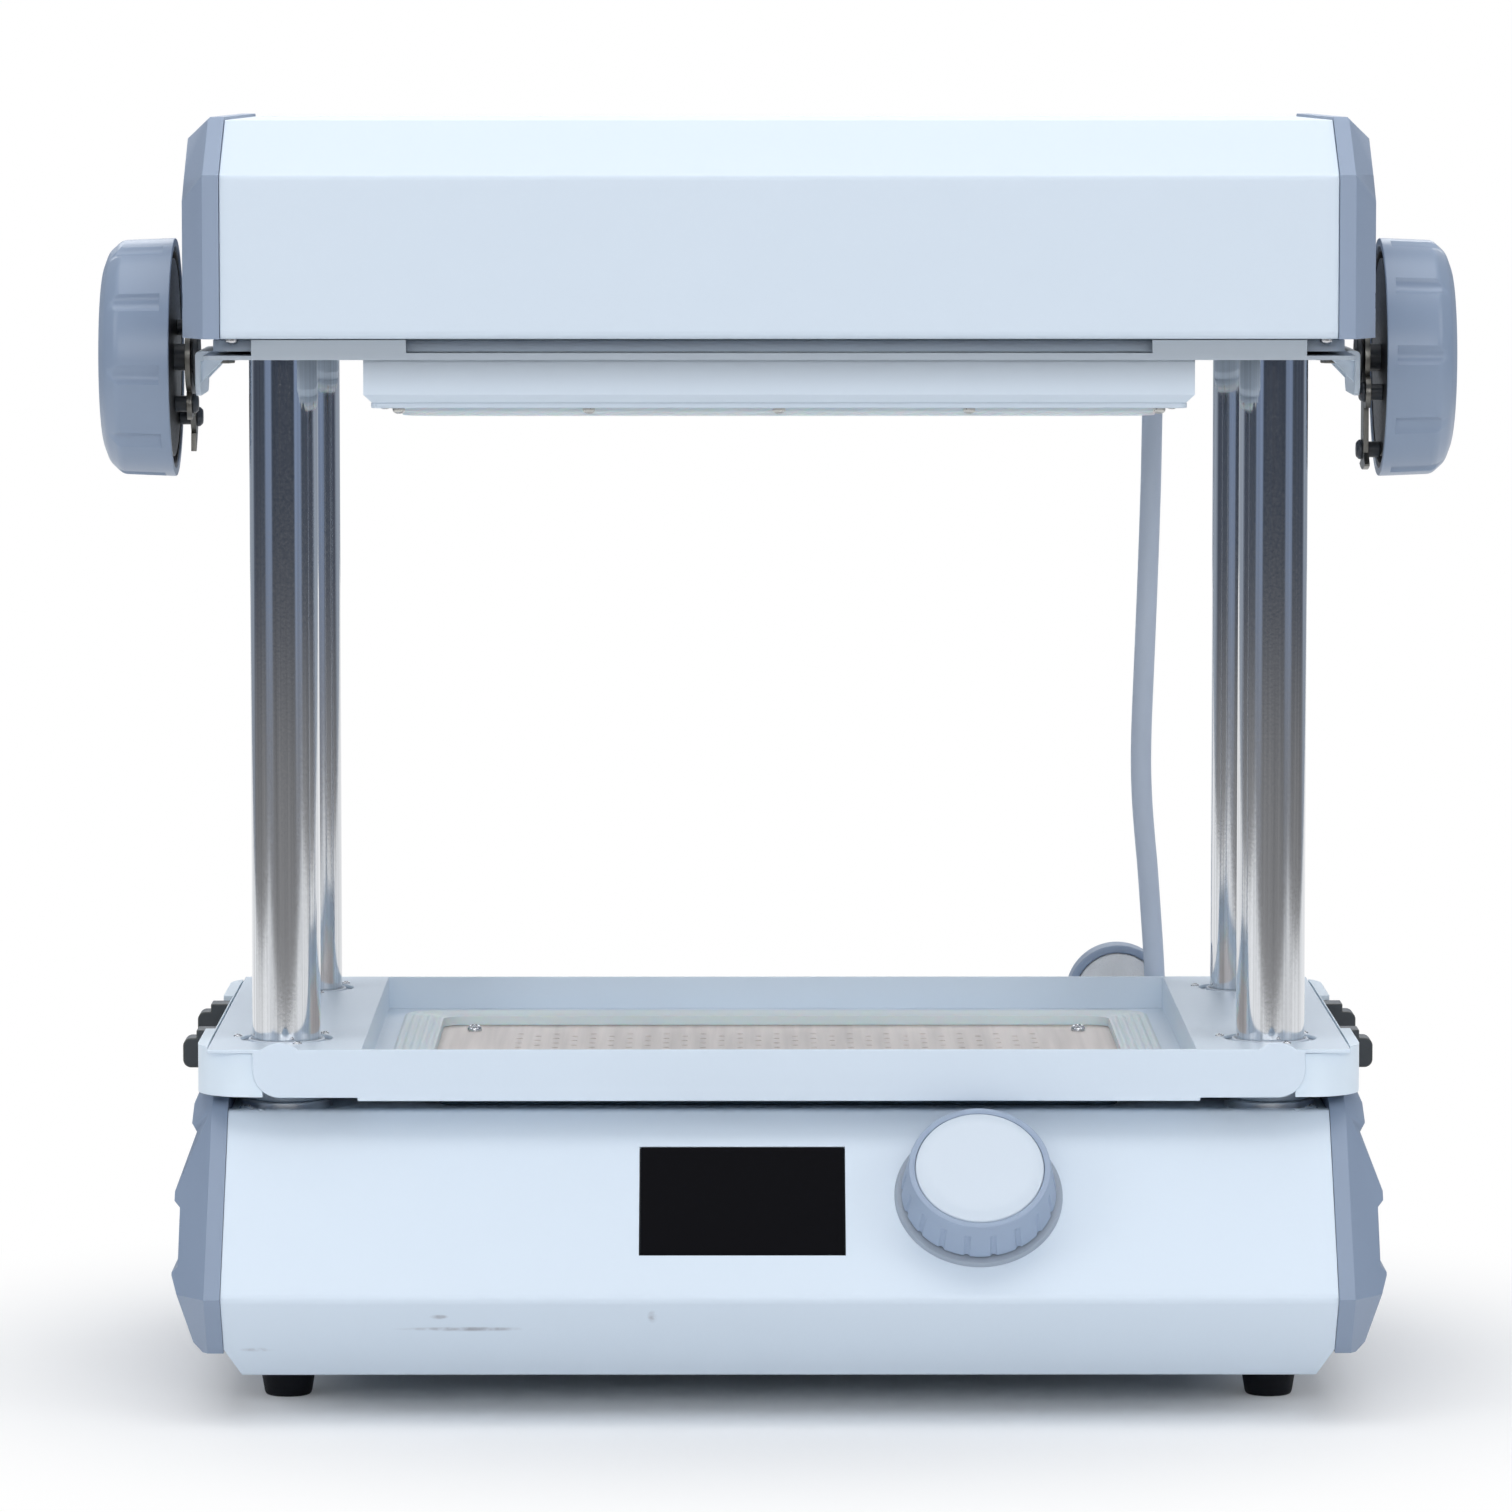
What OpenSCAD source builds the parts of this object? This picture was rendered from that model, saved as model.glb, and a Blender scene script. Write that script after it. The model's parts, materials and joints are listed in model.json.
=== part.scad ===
// Hobby vacuum forming machine.
// A plastic sheet is clamped below a sliding carriage, heated under the hood and pulled down on the table.
// X is the width, Y runs to the back and Z is up, in millimetres. The machine stands on its feet at Z = 0.

/* [Base] */
// How far the base reaches beyond the sheet frame, at the front crease and at the rear wall
base_reach = 36.5; // [35:0.5:44]
// How far the folded front cover reaches out beyond the columns
cover_over = 6; // [5.5:0.25:6.25]
// Height of the deck above the ground
deck_z = 108; // [104:1:116]
// Height of the front crease above the ground
crease_z = 46.5; // [40:0.5:54]
// How far the control panel leans back from the crease to the deck
panel_lean = 53; // [46:1:54]
// How far the cover runs back below the crease
under_run = 28; // [20:1:36]
// Thickness of the folded sheet metal
sheet_t = 1.5; // [1:0.1:2]
// Bend radius of the folded covers
bend_r = 3; // [2:0.5:5]
// Height of the feet
foot_h = 14.5; // [10:0.5:20]
// Diameter of a foot
foot_d = 22; // [16:1:30]
// Thickness of an end cap of the base where it is widest
base_cap_t = 17.9; // [14:0.1:18.2]
// Wall of a moulded end cap
cap_wall = 2.5; // [2:0.1:3.5]

/* [Columns] */
// Diameter of a column
col_d = 25; // [20:0.5:26]
// Distance of the columns' axes from the sides of the sheet frame's recess
col_out = 27.5; // [26:0.5:29]
// Distance of the columns' axes from the front and the back of the sheet frame
col_in = 36; // [33:0.5:46]
// How far the columns' middle lies behind the middle of the base
col_mid_y = 4.5; // [0:0.5:8]

/* [Forming table] */
// Width of the forming table
table_w = 257; // [230:1:300]
// Depth of the forming table
table_d = 166; // [140:1:200]
// Thickness of the forming table
table_t = 5; // [4:0.5:7]
// Distance between the rows of suction holes
hole_pitch = 14; // [10:0.5:20]
// Diameter of a suction hole
hole_d = 2.6; // [2:0.1:4]

/* [Sheet frame] */
// How far the sheet frame reaches out beyond the columns' axes
frame_over = 27; // [25:0.5:29]
// Height of the sheet frame's top above the deck
frame_rise = 23.6; // [22:0.2:28]
// Width of the recess floor on the left and on the right of its window
rail_w = 20.5; // [18:0.5:26]
// Depth of the recess floor in front of its window and behind it
rail_d = 28; // [24:0.5:34]
// Depth of the recess below the frame's top, down to the seal
recess_depth = 11; // [10:0.5:13]
// Gap between the table and the window on the left and on the right
window_gap_x = 3.5; // [2:0.5:6]
// Gap between the table and the window at the front and at the back
window_gap_y = 5; // [2:0.5:8]
// Thickness of the silicone seal on the frame
seal_t = 1.5; // [1:0.1:2.5]

/* [Carriage] */
// Height of the raised carriage plate's underside above the ground
carriage_z = 380.8; // [374:0.2:380.8]
// How far the clamping tray hangs below the carriage plate
tray_h = 15.6; // [14:0.1:18]
// Height of the carriage plate's upturned front edge, from its underside
upstand_h = 7.2; // [6:0.1:7.5]
// How far the upturned edge ends before the plate's sides
upstand_in = 16; // [12:0.5:24]
// Width of the low stretch in the upturned edge
notch_w = 268; // [200:1:300]
// Thickness of the retainer ring below the tray
ring_t = 2; // [1.5:0.1:3]
// Thickness of the clamping gasket below the ring
gasket_t = 3.2; // [2:0.1:4]

/* [Handwheels] */
// Diameter of a handwheel
wheel_d = 88; // [84:1:94]
// Depth of a handwheel
wheel_t = 30; // [26:1:36]
// Wall of a handwheel
wheel_wall = 3; // [2.5:0.1:4]
// Distance of a handwheel's open edge from the side of the sheet frame
wheel_out = 14.5; // [14.5:0.5:19]
// Height of the wheel axis below the carriage plate's underside
axle_drop = 3.2; // [3:0.1:5]
// Diameter of the wheel's axle
axle_d = 10; // [8:0.5:12]
// Number of grip grooves round a wheel
groove_n = 10; // [6:1:14]
// How far the left wheel is turned at rest
left_turn = -47.5; // [-50:0.5:0]
// Reach of the locking claw from the wheel axis
claw_reach = 42; // [40:0.5:43]

/* [Hood] */
// Height of the hood's underside above the ground
hood_z = 389; // [389:0.5:394]
// Height of the hood's front face
hood_face_h = 56.3; // [50:0.1:64]
// Height of the hood
hood_h = 78; // [72:0.5:86]
// How far the hood reaches out in front of the carriage
hood_over_front = 4; // [2:0.5:10]
// How far the hood reaches out behind the carriage
hood_over_back = 22; // [20:0.5:30]
// How far the hood's slanted faces run in from the upright ones
hood_slant = 34; // [28:1:40]
// Thickness of a hood end cap where it is widest
hood_cap_t = 16; // [14:0.1:18]
// Number of heating tubes
tube_n = 6; // [4:1:8]
// Diameter of a heating tube
tube_d = 10; // [8:0.5:12]

/* [Controls] */
// Width of the display glass
display_w = 73.5; // [60:0.5:80]
// Height of the display glass
display_h = 46.2; // [40:0.2:50]
// Distance of the display's middle to the left of the machine's middle
display_left = 13.2; // [0:0.2:30]
// Distance of the knob's axis to the right of the machine's middle
knob_right = 71.9; // [65:0.1:90]
// Diameter of the knob at its foot
knob_d = 56; // [48:1:58]
// Height of the knob above the panel
knob_h = 20; // [18:0.5:26]
// How far the knob's grip narrows from foot to rim
knob_taper = 5; // [3:0.5:8]
// Number of grip notches round the knob
notch_n = 18; // [12:1:24]

/* [Rear] */
// Diameter of the heater cable
cable_d = 8; // [6:0.5:9]
// Diameter of the pump's filter cup
filter_d = 40; // [34:1:44]
// Width of the mains inlet with its switch
inlet_w = 48; // [44:1:56]
// Height of the mains inlet
inlet_h = 28; // [26:1:34]

/* [Hidden] */
$fn = 48;

// Overrun of a cutting shape past the face that it cuts
over = 1;
// Clearance between pieces that don't move on each other
gap = 0.3;
// Running clearance round a column or an axle
run_gap = 0.05;

// Widths and depths, from the forming table out
window_w = table_w + 2 * window_gap_x;
window_d = table_d + 2 * window_gap_y;
recess_w = window_w + 2 * rail_w;
frame_d = window_d + 2 * rail_d;
col_span_x = recess_w + 2 * col_out;
col_span_y = frame_d - 2 * col_in;
frame_w = col_span_x + 2 * frame_over;
cover_w = col_span_x + col_d + 2 * cover_over;
base_d = frame_d + 2 * base_reach;
wheel_x = frame_w / 2 + wheel_out;

// Colours
white = [0.86, 0.9, 0.94];
grey_blue = [0.55, 0.61, 0.7];
steel = [0.75, 0.76, 0.78];
dark = [0.1, 0.1, 0.11];
rubber = [0.07, 0.07, 0.08];

// Base, worked out
front_y = -base_d / 2;
back_y = base_d / 2;
panel_top_y = front_y + panel_lean;
under_y = front_y + under_run;
panel_tilt = atan2(deck_z - crease_z, panel_lean);
panel_in = sheet_t / sin(panel_tilt) + gap;
floor_z = foot_h + sheet_t;
floor_top = floor_z + sheet_t;
deck_top = deck_z - sheet_t;
deck_low = deck_top - sheet_t;
cover_x = cover_w / 2;
cover_lip = 4.5;
corner_cut = 6;
corner_cut_h = 11;
wall_in = 3.9;
wall_x = cover_x - wall_in;
vent_n = 5;
vent_pitch = 9;
vent_w = 4;
vent_l = 60;
head_d = 5.5;
head_t = 2.6;
relief_over = 7;
relief_d = 2.4;
deck_screw_x = 14;
deck_screw_y = 16.5;

// End cap of the base, measured from the cover's edge and from the deck
cap_proud = 0.5;
cap_rim_h = 5;
cap_rim_run = 12;
cap_rim_out = 1.6;
cap_rim_drop = 5.5;
cap_neck_drop = 8;
cap_shoulder_drop = 31.5;
cap_top_in = 5.2;
cap_foot_in = 6;
cap_foot_rise = 9.5;
cap_foot_z = foot_h + cap_foot_rise;
cap_foot_cut = 3.5;
cap_chamfer = 11;
grip_depth = 1.4;
grip_drop = 34.5;
grip_rise = 7;
grip_edge = 2;
boss_d = 8;
boss_in = 22;

// Table and vacuum box
ledge_gap = 4.3;
frame_top = deck_z + frame_rise;
seal_top = frame_top - recess_depth;
table_top = seal_top - ledge_gap;
table_corner = 6;
table_edge = 10;
// Shift of every second row of holes, as a share of their pitch
half_share = 0.5;
box_wall = 3;
box_h = 30;
box_w = table_w - 2 * table_edge;
box_d = table_d - 2 * table_edge;
box_top = table_top - table_t;
box_z = deck_z - box_h;
box_rim = 6;
box_rim_t = 3;
table_screw_in_x = 11.5;
table_screw_in_y = 18;
table_screw_x = table_w / 2 - table_screw_in_x;
table_screw_y = table_d / 2 - table_screw_in_y;
pipe_d = 24;
pipe_wall = 2;
pump_d = 44;
pump_l = 96;
pump_x = 75;
pump_rise = 3;
pump_z = floor_top + pump_rise + pump_d / 2;
saddle_w = 30;
saddle_l = 12;
board_w = 150;
board_d = 34;
board_t = 1.6;
board_x = -40;
post_h = 8;
post_d = 7;
post_in = 6;
supply_w = 90;
supply_d = 120;
supply_h = 38;
supply_x = -110;
supply_front = 40;

// Columns and collars
col_x = col_span_x / 2;
col_front = col_mid_y - col_span_y / 2;
col_back = col_mid_y + col_span_y / 2;
collar_edge = 4.25;
collar_d = col_d + 2 * collar_edge;
collar_t = 3;
hood_floor_t = 2;
hood_floor_z = hood_z + sheet_t;
hood_floor_top = hood_floor_z + hood_floor_t;
col_end = 14;
col_top = hood_floor_top + col_end;

// Sheet frame
frame_front = col_mid_y - frame_d / 2;
frame_back = col_mid_y + frame_d / 2;
recess_floor = seal_top - seal_t;
front_wall_in = 16.5;
front_wall_w = frame_w - 2 * front_wall_in;
front_wall_rise = 6;
front_wall_z = deck_z + front_wall_rise;
front_wall_r = 10;
tray_wall_rise = 4.8;
tray_wall_z = deck_z + tray_wall_rise;
skirt_out = 4.5;
skirt_t = 4;
skirt_r = 20;
skirt_wrap = 20;
skirt_start = frame_w / 2 - skirt_wrap;
dip_depth = 3.5;
dip_l = 104;
window_r = 8;
bush_wall = 4;
bush_d = col_d + 2 * bush_wall;
bush_flange = 6.5;
bush_flange_d = bush_d + 2 * bush_flange;
bush_flange_t = 2.2;
bush_screw_out = 2.3;
bush_screw_r = bush_d / 2 + bush_screw_out;
bush_screw_d = 3.4;
bush_screw_h = 1.1;
bush_screw_turn = 165;

// Lock keepers on the sheet frame
keeper_y = 32;
keeper_back_y = 38;
keeper_l = 12;
keeper_in = 1;
keeper_x = wheel_x - keeper_in;
keeper_rise = 8;
keeper_z = deck_z + keeper_rise;
keeper_h = 11;
keeper_step_h = 3;
keeper_step_in = 2;
keeper_r = 3;
strip_t = 1.6;
strip_h = 9;
strip_over = 2;

// Carriage
tray_in_x = 3;
tray_in_y = 3.5;
tray_w = recess_w - 2 * tray_in_x;
tray_d = frame_d - 2 * tray_in_y;
tray_cut = 3;
upstand_w = frame_w - 2 * upstand_in;
tray_z = carriage_z - tray_h;
notch_rise = 2.5;
ring_in_x = 2.5;
ring_in_y = 3.5;
ring_w = tray_w - 2 * ring_in_x;
ring_d = tray_d - 2 * ring_in_y;
ring_z = tray_z - ring_t;
gasket_edge = 8.5;
gasket_w = ring_w - 2 * gasket_edge;
gasket_d = ring_d - 2 * gasket_edge;
gasket_z = ring_z - gasket_t;
gasket_step = 1.2;
gasket_in = 4;
ring_end = 10;
ring_screw_pitch = (ring_w / 2 - ring_end) / 2;
ring_screw_d = 4.6;
ring_screw_h = 1.8;
ring_screw_in = 3.4;
travel = gasket_z - seal_top - gap;
carriage_flange = 3.5;
carriage_flange_d = bush_d + 2 * carriage_flange;
carriage_flange_t = 2;

// Wheel brackets, from the plate out to the wheels
axle_z = carriage_z - axle_drop;
flange_in = 9.2;
flange_x = wheel_x - flange_in;
flange_t = 2;
flange_half = 25;
flange_h = 16.8;
flange_r = 6;
tab_t = 1.9;
tab_run = 18.3;
tab_x = flange_x - tab_run;
gusset_run = 9;
gusset_drop = 12;
gusset_t = 1.5;
gusset_y = 21;
axle_plate_r = 11;
axle_plate_t = 1.9;
axle_plate_x = flange_x + flange_t;
axle_tip = 3;
nut_d = 8;
nut_h = 3;
nut_in = 8.3;
nut_x = flange_x - nut_in;
nut_y = 15;

// Handwheel and its claw
wheel_r = wheel_d / 2;
wheel_face = wheel_x + wheel_t;
wheel_draft = 1.5;
wheel_edge = 7;
wheel_edge_in = 8;
wheel_dome = 1.5;
wheel_dome_r = 22;
wheel_hub_r = 10;
wheel_rib_t = 2.5;
groove_r = 6;
groove_depth = 1.2;
groove_run = 23;
disc_r = 37;
disc_t = 3.5;
disc_in = 2;
disc_x = wheel_x + disc_in;
claw_in = 4.5;
claw_x = wheel_x - claw_in;
claw_t = 2;
claw_eye_r = 13;
claw_bore_gap = 1;
claw_bore_r = axle_d / 2 + claw_bore_gap;
claw_arm_w = 13;
claw_close = 38;
claw_clear = 0.7;
claw_tip_in = 0.6;
claw_head_d = 7.4;
claw_head_t = 2.3;
standoff_d = 6;
// Distance from the axis of each standoff of the claw
post_reach = [17.4, 34.5, 17.4];
// Angle of each standoff, from straight down towards the front
post_turn = [43.7, 0, -80];
headed_posts = 2;

// Hood
hood_top = hood_z + hood_h;
hood_over = 0.8;
hood_x = cover_x + hood_over;
hood_lip = 12;
hood_front_y = frame_front - hood_over_front;
hood_back_y = frame_back + hood_over_back;
hood_tilt = atan2(hood_h - hood_face_h, hood_slant);
hood_proud = 0.7;
hood_side_h = 50;
hood_side_in = 17;
hood_cap_edge = 8.8;
hood_cap_chamfer = 16.5;
hood_cap_top_in = 9.6;
hood_cap_side_in = 2.3;
hood_cap_knee_in = 1;
hood_cap_top_drop = 7.5;
hood_cap_side_h = 50;
groove_rise = 10.3;
groove_z = hood_z + groove_rise;
groove_h = 5.2;
groove_in = 2.2;
bay_edge = 7;
bay_w = window_w + 2 * bay_edge;
bay_d = window_d + 2 * bay_edge;
bay_h = 36;
bay_t = 1;
bay_flange = 8;
tube_rise = 13;
tube_z = hood_floor_top + tube_rise;
tube_over = 7;
tube_margin = 10;
tube_pitch = (bay_d - 2 * tube_margin) / tube_n;
holder_l = 10;
holder_w = 16;
holder_h = 22;
hood_screw_in = 30;
hood_screw_h = 44;

// Controls
knob_down = 37;
display_down = 39.1;
knob_ring_d = 61;
knob_ring_t = 1.6;
knob_push = 0.8;
knob_foot = knob_ring_t + knob_push + gap;
knob_wall = 2.2;
face_in = 2.2;
face_rise = 1.2;
face_t = 2.5;
knob_notch_d = 3.4;
knob_notch_depth = 0.9;
knob_notch_stop = 3.6;
shaft_d = 6;
knob_hub_d = 11;
encoder_w = 14;
encoder_h = 8;
encoder_floor = 1.5;
nose_d = 9;
nose_h = 1.5;
plunger_h = 1.5;
plunger_z = encoder_floor + knob_push + gap - sheet_t - encoder_h;
glass_t = 1.5;
module_edge = 3;
module_t = 6;

// Rear fittings
cable_gap = 8;
cable_y = frame_back + cable_gap;
gland_d = 11;
gland_l = 8;
gland_in = 5;
gland_nut_h = 3.5;
gland_nut_d = 13;
gland_tip_d = 10;
filter_x = 134.5;
filter_rise = 14;
filter_z = deck_z + filter_rise;
filter_gap = 15.5;
filter_y = frame_back + filter_gap;
filter_l = 14.5;
filter_wall = 3;
filter_floor = 3;
felt_in = 1.2;
inlet_x = -120;
inlet_z = 60;
inlet_t = 2;
inlet_body = 22;
socket_x = 8;
socket_w = 24;
socket_h = 16;
socket_depth = 16;
pin_w = 4;
pin_t = 2;
pin_pitch = 7;
pin_in = 5;
switch_x = -15;
switch_w = 9;
switch_h = 18;
switch_t = 6;
switch_rise = 1.6;
switch_room = 1;
pivot_d = 3;
pivot_over = 1.5;
pivot_in = 3;
switch_turn = 8;

// Route of the heater cable from the hood down to the deck, in X and Z
cable_route = [
    [147, 398], [147, 386], [147, 374], [146.8, 362], [146.5, 350], [146.1, 325], [145.4, 300],
    [144.6, 276], [143.7, 252], [142.9, 230], [142.7, 214], [143.2, 200], [144.2, 187], [145.4, 174],
    [146.6, 158], [147.6, 144], [148.3, 132], [148.5, 122], [148.5, 110], [148.5, 98]
];
cable_sides = 10;
cable_top_x = cable_route[0][0];
cable_low_x = cable_route[len(cable_route) - 1][0];

// Extrudes an outline that is drawn in Y and Z from one X to another.
module along_x(x0, x1) translate([x0, 0, 0]) rotate([90, 0, 90]) linear_extrude(x1 - x0) children();

// Extrudes an outline that is drawn in X and Z from one Y to another.
module along_y(y0, y1) translate([0, y1, 0]) rotate([90, 0, 0]) linear_extrude(y1 - y0) children();

// A box between two corners
module block(low, high) translate(low) cube(high - low);

// The same thing on the left and on the right
module both_sides() {
    children();
    mirror([1, 0, 0]) children();
}

// A rectangle round the origin with round corners
module round_rect(w, d, r) {
    square([w - 2 * r, d], center = true);
    square([w, d - 2 * r], center = true);
    for (x = [-1, 1], y = [-1, 1]) translate([x * (w / 2 - r), y * (d / 2 - r)]) circle(r);
}

// A flat ring with round corners, from one size to another inside it
module round_ring(w, d, r, in_w, in_d, in_r, t) linear_extrude(t) difference() {
    round_rect(w, d, r);
    round_rect(in_w, in_d, in_r);
}

// A cylinder along X, from one X to another
module rod_x(x0, x1, d) translate([x0, 0, 0]) rotate([0, 90, 0]) cylinder(h = x1 - x0, d = d);

// Places a child at each of the four columns.
module at_columns() for (x = [-col_x, col_x], y = [col_front, col_back]) translate([x, y, 0]) children();

// Moves a child to a height, centred between the columns.
module mid(z) translate([0, col_mid_y, z]) children();

// Places a child on the control panel, with Z square to it. Down is measured along the slope from the deck.
module on_panel(x, down)
    translate([x, panel_top_y - down * cos(panel_tilt), deck_z - down * sin(panel_tilt)])
        rotate([panel_tilt, 0, 0]) children();

// A pan head screw that stands on Z = 0
module pan_head(d, h) {
    cylinder(h = h / 2, d = d);
    translate([0, 0, h / 2]) cylinder(h = h / 2, d1 = d, d2 = d * 0.7);
}

// Cuts the right-hand edge of a face that looks up along Z.
module edge_cutter(run, depth, size)
    translate([0, 0, -depth]) rotate([0, atan2(depth, run), 0])
        translate([-size / 2, -size / 2, 0]) cube(size);

// Points along a path whose corners are rounded with radius r
function unit(v) = v / norm(v);
function side_of(v) = [-v[1], v[0]];
function corner(a, p, b, r, n) = let (
    u = unit(a - p),
    v = unit(b - p),
    half = acos(u * v) / 2,
    c = p + unit(u + v) * r / sin(half),
    s = unit(p + u * r / tan(half) - c),
    e = unit(p + v * r / tan(half) - c)
) [for (k = [0:n]) c + r * unit(s * (n - k) / n + e * k / n)];
function rounded(p, r, n = 6) = [
    for (i = [0:len(p) - 1])
        each (i == 0 || i == len(p) - 1 ? [p[i]] : corner(p[i - 1], p[i], p[i + 1], r, n))
];

// Outline of a sheet of thickness t on the left of a path
function before(p, i) = side_of(unit(i > 0 ? p[i] - p[i - 1] : p[1] - p[0]));
function after(p, i) = side_of(unit(i < len(p) - 1 ? p[i + 1] - p[i] : p[i] - p[i - 1]));
function mitre(p, i, t) = let (m = unit(before(p, i) + after(p, i))) p[i] + m * t / (m * before(p, i));
function sheet_outline(p, t) = concat(p, [for (i = [len(p) - 1:-1:0]) mitre(p, i, t)]);

// Floor of the base with the side walls that the end caps are screwed to
module base_floor() color(white) {
    rear = back_y - sheet_t - gap;
    difference() {
        block([-wall_x, under_y + panel_in, floor_z], [wall_x, rear, floor_top]);
        for (k = [0:vent_n - 1]) translate([(k - (vent_n - 1) / 2) * vent_pitch, 0, floor_z - over])
            linear_extrude(sheet_t + 2 * over) square([vent_w, vent_l], center = true);
    }
    both_sides() along_x(wall_x - sheet_t, wall_x) polygon([
        [panel_top_y + panel_in, deck_low],
        [front_y + panel_in + over, crease_z],
        [under_y + panel_in, floor_z],
        [rear, floor_z],
        [rear, deck_low]
    ]);
}

// Folded sheet that makes the deck's front lip, the control panel and the part below the crease
module front_cover() color(white) difference() {
    along_x(-cover_x, cover_x) polygon(sheet_outline(rounded([
        [panel_top_y + cover_lip, deck_z],
        [panel_top_y, deck_z],
        [front_y, crease_z],
        [under_y, foot_h],
        [under_y + cover_lip, foot_h]
    ], bend_r), sheet_t));
    on_panel(-display_left, display_down) translate([0, 0, -sheet_t - over])
        linear_extrude(sheet_t + 2 * over) square([display_w + gap, display_h + gap], center = true);
    on_panel(knob_right, knob_down) translate([0, 0, -sheet_t - over])
        cylinder(h = sheet_t + 2 * over, d = nose_d + gap);
    both_sides() along_y(front_y - over, under_y + cover_lip + over) polygon([
        [cover_x + over, foot_h - over],
        [cover_x - corner_cut, foot_h - over],
        [cover_x - corner_cut, foot_h],
        [cover_x, foot_h + corner_cut_h],
        [cover_x + over, foot_h + corner_cut_h]
    ]);
    both_sides() translate([col_x + relief_over, panel_top_y + relief_d / 2, deck_top - over])
        cylinder(h = sheet_t + 2 * over, d = relief_d);
}

// Flat deck below the cover's lip, with the column holes and the opening for the vacuum box
module deck_plate() color(white) difference() {
    block([-cover_x, panel_top_y + sheet_t, deck_low], [cover_x, back_y - sheet_t - gap, deck_top]);
    at_columns() translate([0, 0, deck_low - over]) cylinder(h = sheet_t + 2 * over, d = col_d + 2 * gap);
    mid(deck_low - over) linear_extrude(sheet_t + 2 * over)
        round_rect(box_w + 2 * gap, box_d + 2 * gap, table_corner);
    translate([cable_low_x, cable_y, deck_low - over])
        cylinder(h = sheet_t + 2 * over, d = gland_d + 2 * gap);
}

// Upright rear wall with the cut-out of the mains inlet and the pump's vents
module rear_panel() color(white) difference() {
    block([-cover_x, back_y - sheet_t, foot_h], [cover_x, back_y, deck_top]);
    translate([inlet_x, 0, inlet_z]) along_y(back_y - sheet_t - over, back_y + over)
        square([inlet_w - 2 * inlet_t, inlet_h - 2 * inlet_t], center = true);
    for (i = [0:vent_n - 1], j = [0:vent_n - 1])
        translate([pump_x + i * vent_pitch, back_y + over, inlet_z + (j - (vent_n - 1) / 2) * vent_pitch])
            rotate([90, 0, 0]) cylinder(h = sheet_t + 2 * over, d = vent_w, $fn = 16);
}

// End cap of the base: the side view and the front view of the moulding, with its cut edges
module base_cap_body() {
    out = cover_x + base_cap_t;
    top = deck_z + cap_rim_h;
    rim_y = panel_top_y + cap_rim_run;
    foot_y = front_y + under_run * (crease_z - cap_foot_z) / (crease_z - foot_h);
    size = base_d + deck_z;
    difference() {
        intersection() {
            along_x(cover_x + gap / 2, out + over) offset(delta = cap_proud) polygon([
                [rim_y, top],
                [panel_top_y, deck_z],
                [front_y, crease_z],
                [foot_y, cap_foot_z],
                [back_y, cap_foot_z],
                [back_y, top]
            ]);
            along_y(front_y - over, back_y + over) polygon([
                [cover_x, cap_foot_z],
                [out - cap_foot_in - cap_foot_cut, cap_foot_z],
                [out - cap_foot_in, cap_foot_z + cap_foot_cut],
                [out, crease_z + cap_foot_in],
                [out, crease_z + grip_rise],
                [out - grip_depth, crease_z + grip_rise + grip_edge],
                [out - grip_depth, deck_z - grip_drop - grip_edge],
                [out, deck_z - grip_drop],
                [out, deck_z - cap_shoulder_drop],
                [out - cap_top_in, deck_z - cap_neck_drop],
                [out - cap_top_in + cap_rim_out, deck_z - cap_rim_drop],
                [out - cap_top_in + cap_rim_out, deck_z],
                [out - cap_top_in, top],
                [cover_x, top]
            ]);
        }
        translate([out, rim_y, top]) rotate([atan2(cap_rim_h, cap_rim_run), 0, 0])
            edge_cutter(cap_chamfer, cap_chamfer, size);
        translate([out, panel_top_y, deck_z]) rotate([panel_tilt, 0, 0])
            edge_cutter(cap_chamfer, cap_chamfer, size);
        translate([out, front_y, crease_z]) rotate([90 + atan2(under_run, crease_z - foot_h), 0, 0])
            edge_cutter(cap_chamfer, cap_chamfer, size);
        translate([out, back_y, crease_z]) rotate([-90, 0, 0]) edge_cutter(cap_chamfer, cap_chamfer, size);
    }
}

// The moulding hollowed out, with the bosses that reach the base's side wall
module base_cap() {
    hollow_x = cover_x + base_cap_t - cap_top_in - cap_wall;
    in_y = cap_chamfer + cap_wall;
    difference() {
        base_cap_body();
        along_x(cover_x - over, hollow_x) polygon([
            [panel_top_y + in_y, deck_z - cap_wall],
            [front_y + in_y, crease_z],
            [under_y + in_y / 2, cap_foot_z + 2 * cap_wall],
            [back_y - in_y, cap_foot_z + 2 * cap_wall],
            [back_y - in_y, deck_z - cap_wall]
        ]);
    }
    for (y = [under_y + boss_in, back_y - boss_in], z = [cap_foot_z + boss_in, deck_z - boss_in])
        translate([0, y, z]) rod_x(wall_x + gap, hollow_x + cap_wall / 2, boss_d);
}
module base_cap_left() color(grey_blue) mirror([1, 0, 0]) base_cap();
module base_cap_right() color(grey_blue) base_cap();

// Four rubber feet below the columns
module feet() color(rubber) at_columns() cylinder(h = floor_z, d1 = foot_d - sheet_t, d2 = foot_d);

// Screws of the deck, of the rear wall and of the forming table
module base_screws() color(steel) {
    both_sides() {
        for (y = [col_front, col_back], side = [-deck_screw_y, deck_screw_y])
            translate([col_x + deck_screw_x, y + side, deck_top]) pan_head(head_d, head_t);
        for (z = [floor_top + head_d, deck_low - head_d])
            translate([cover_x - head_d, back_y, z]) rotate([-90, 0, 0]) pan_head(head_d, head_t);
    }
    for (x = [-table_screw_x, table_screw_x], y = [-table_screw_y, table_screw_y])
        translate([x, col_mid_y + y, table_top]) pan_head(head_d, head_t);
}

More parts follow.
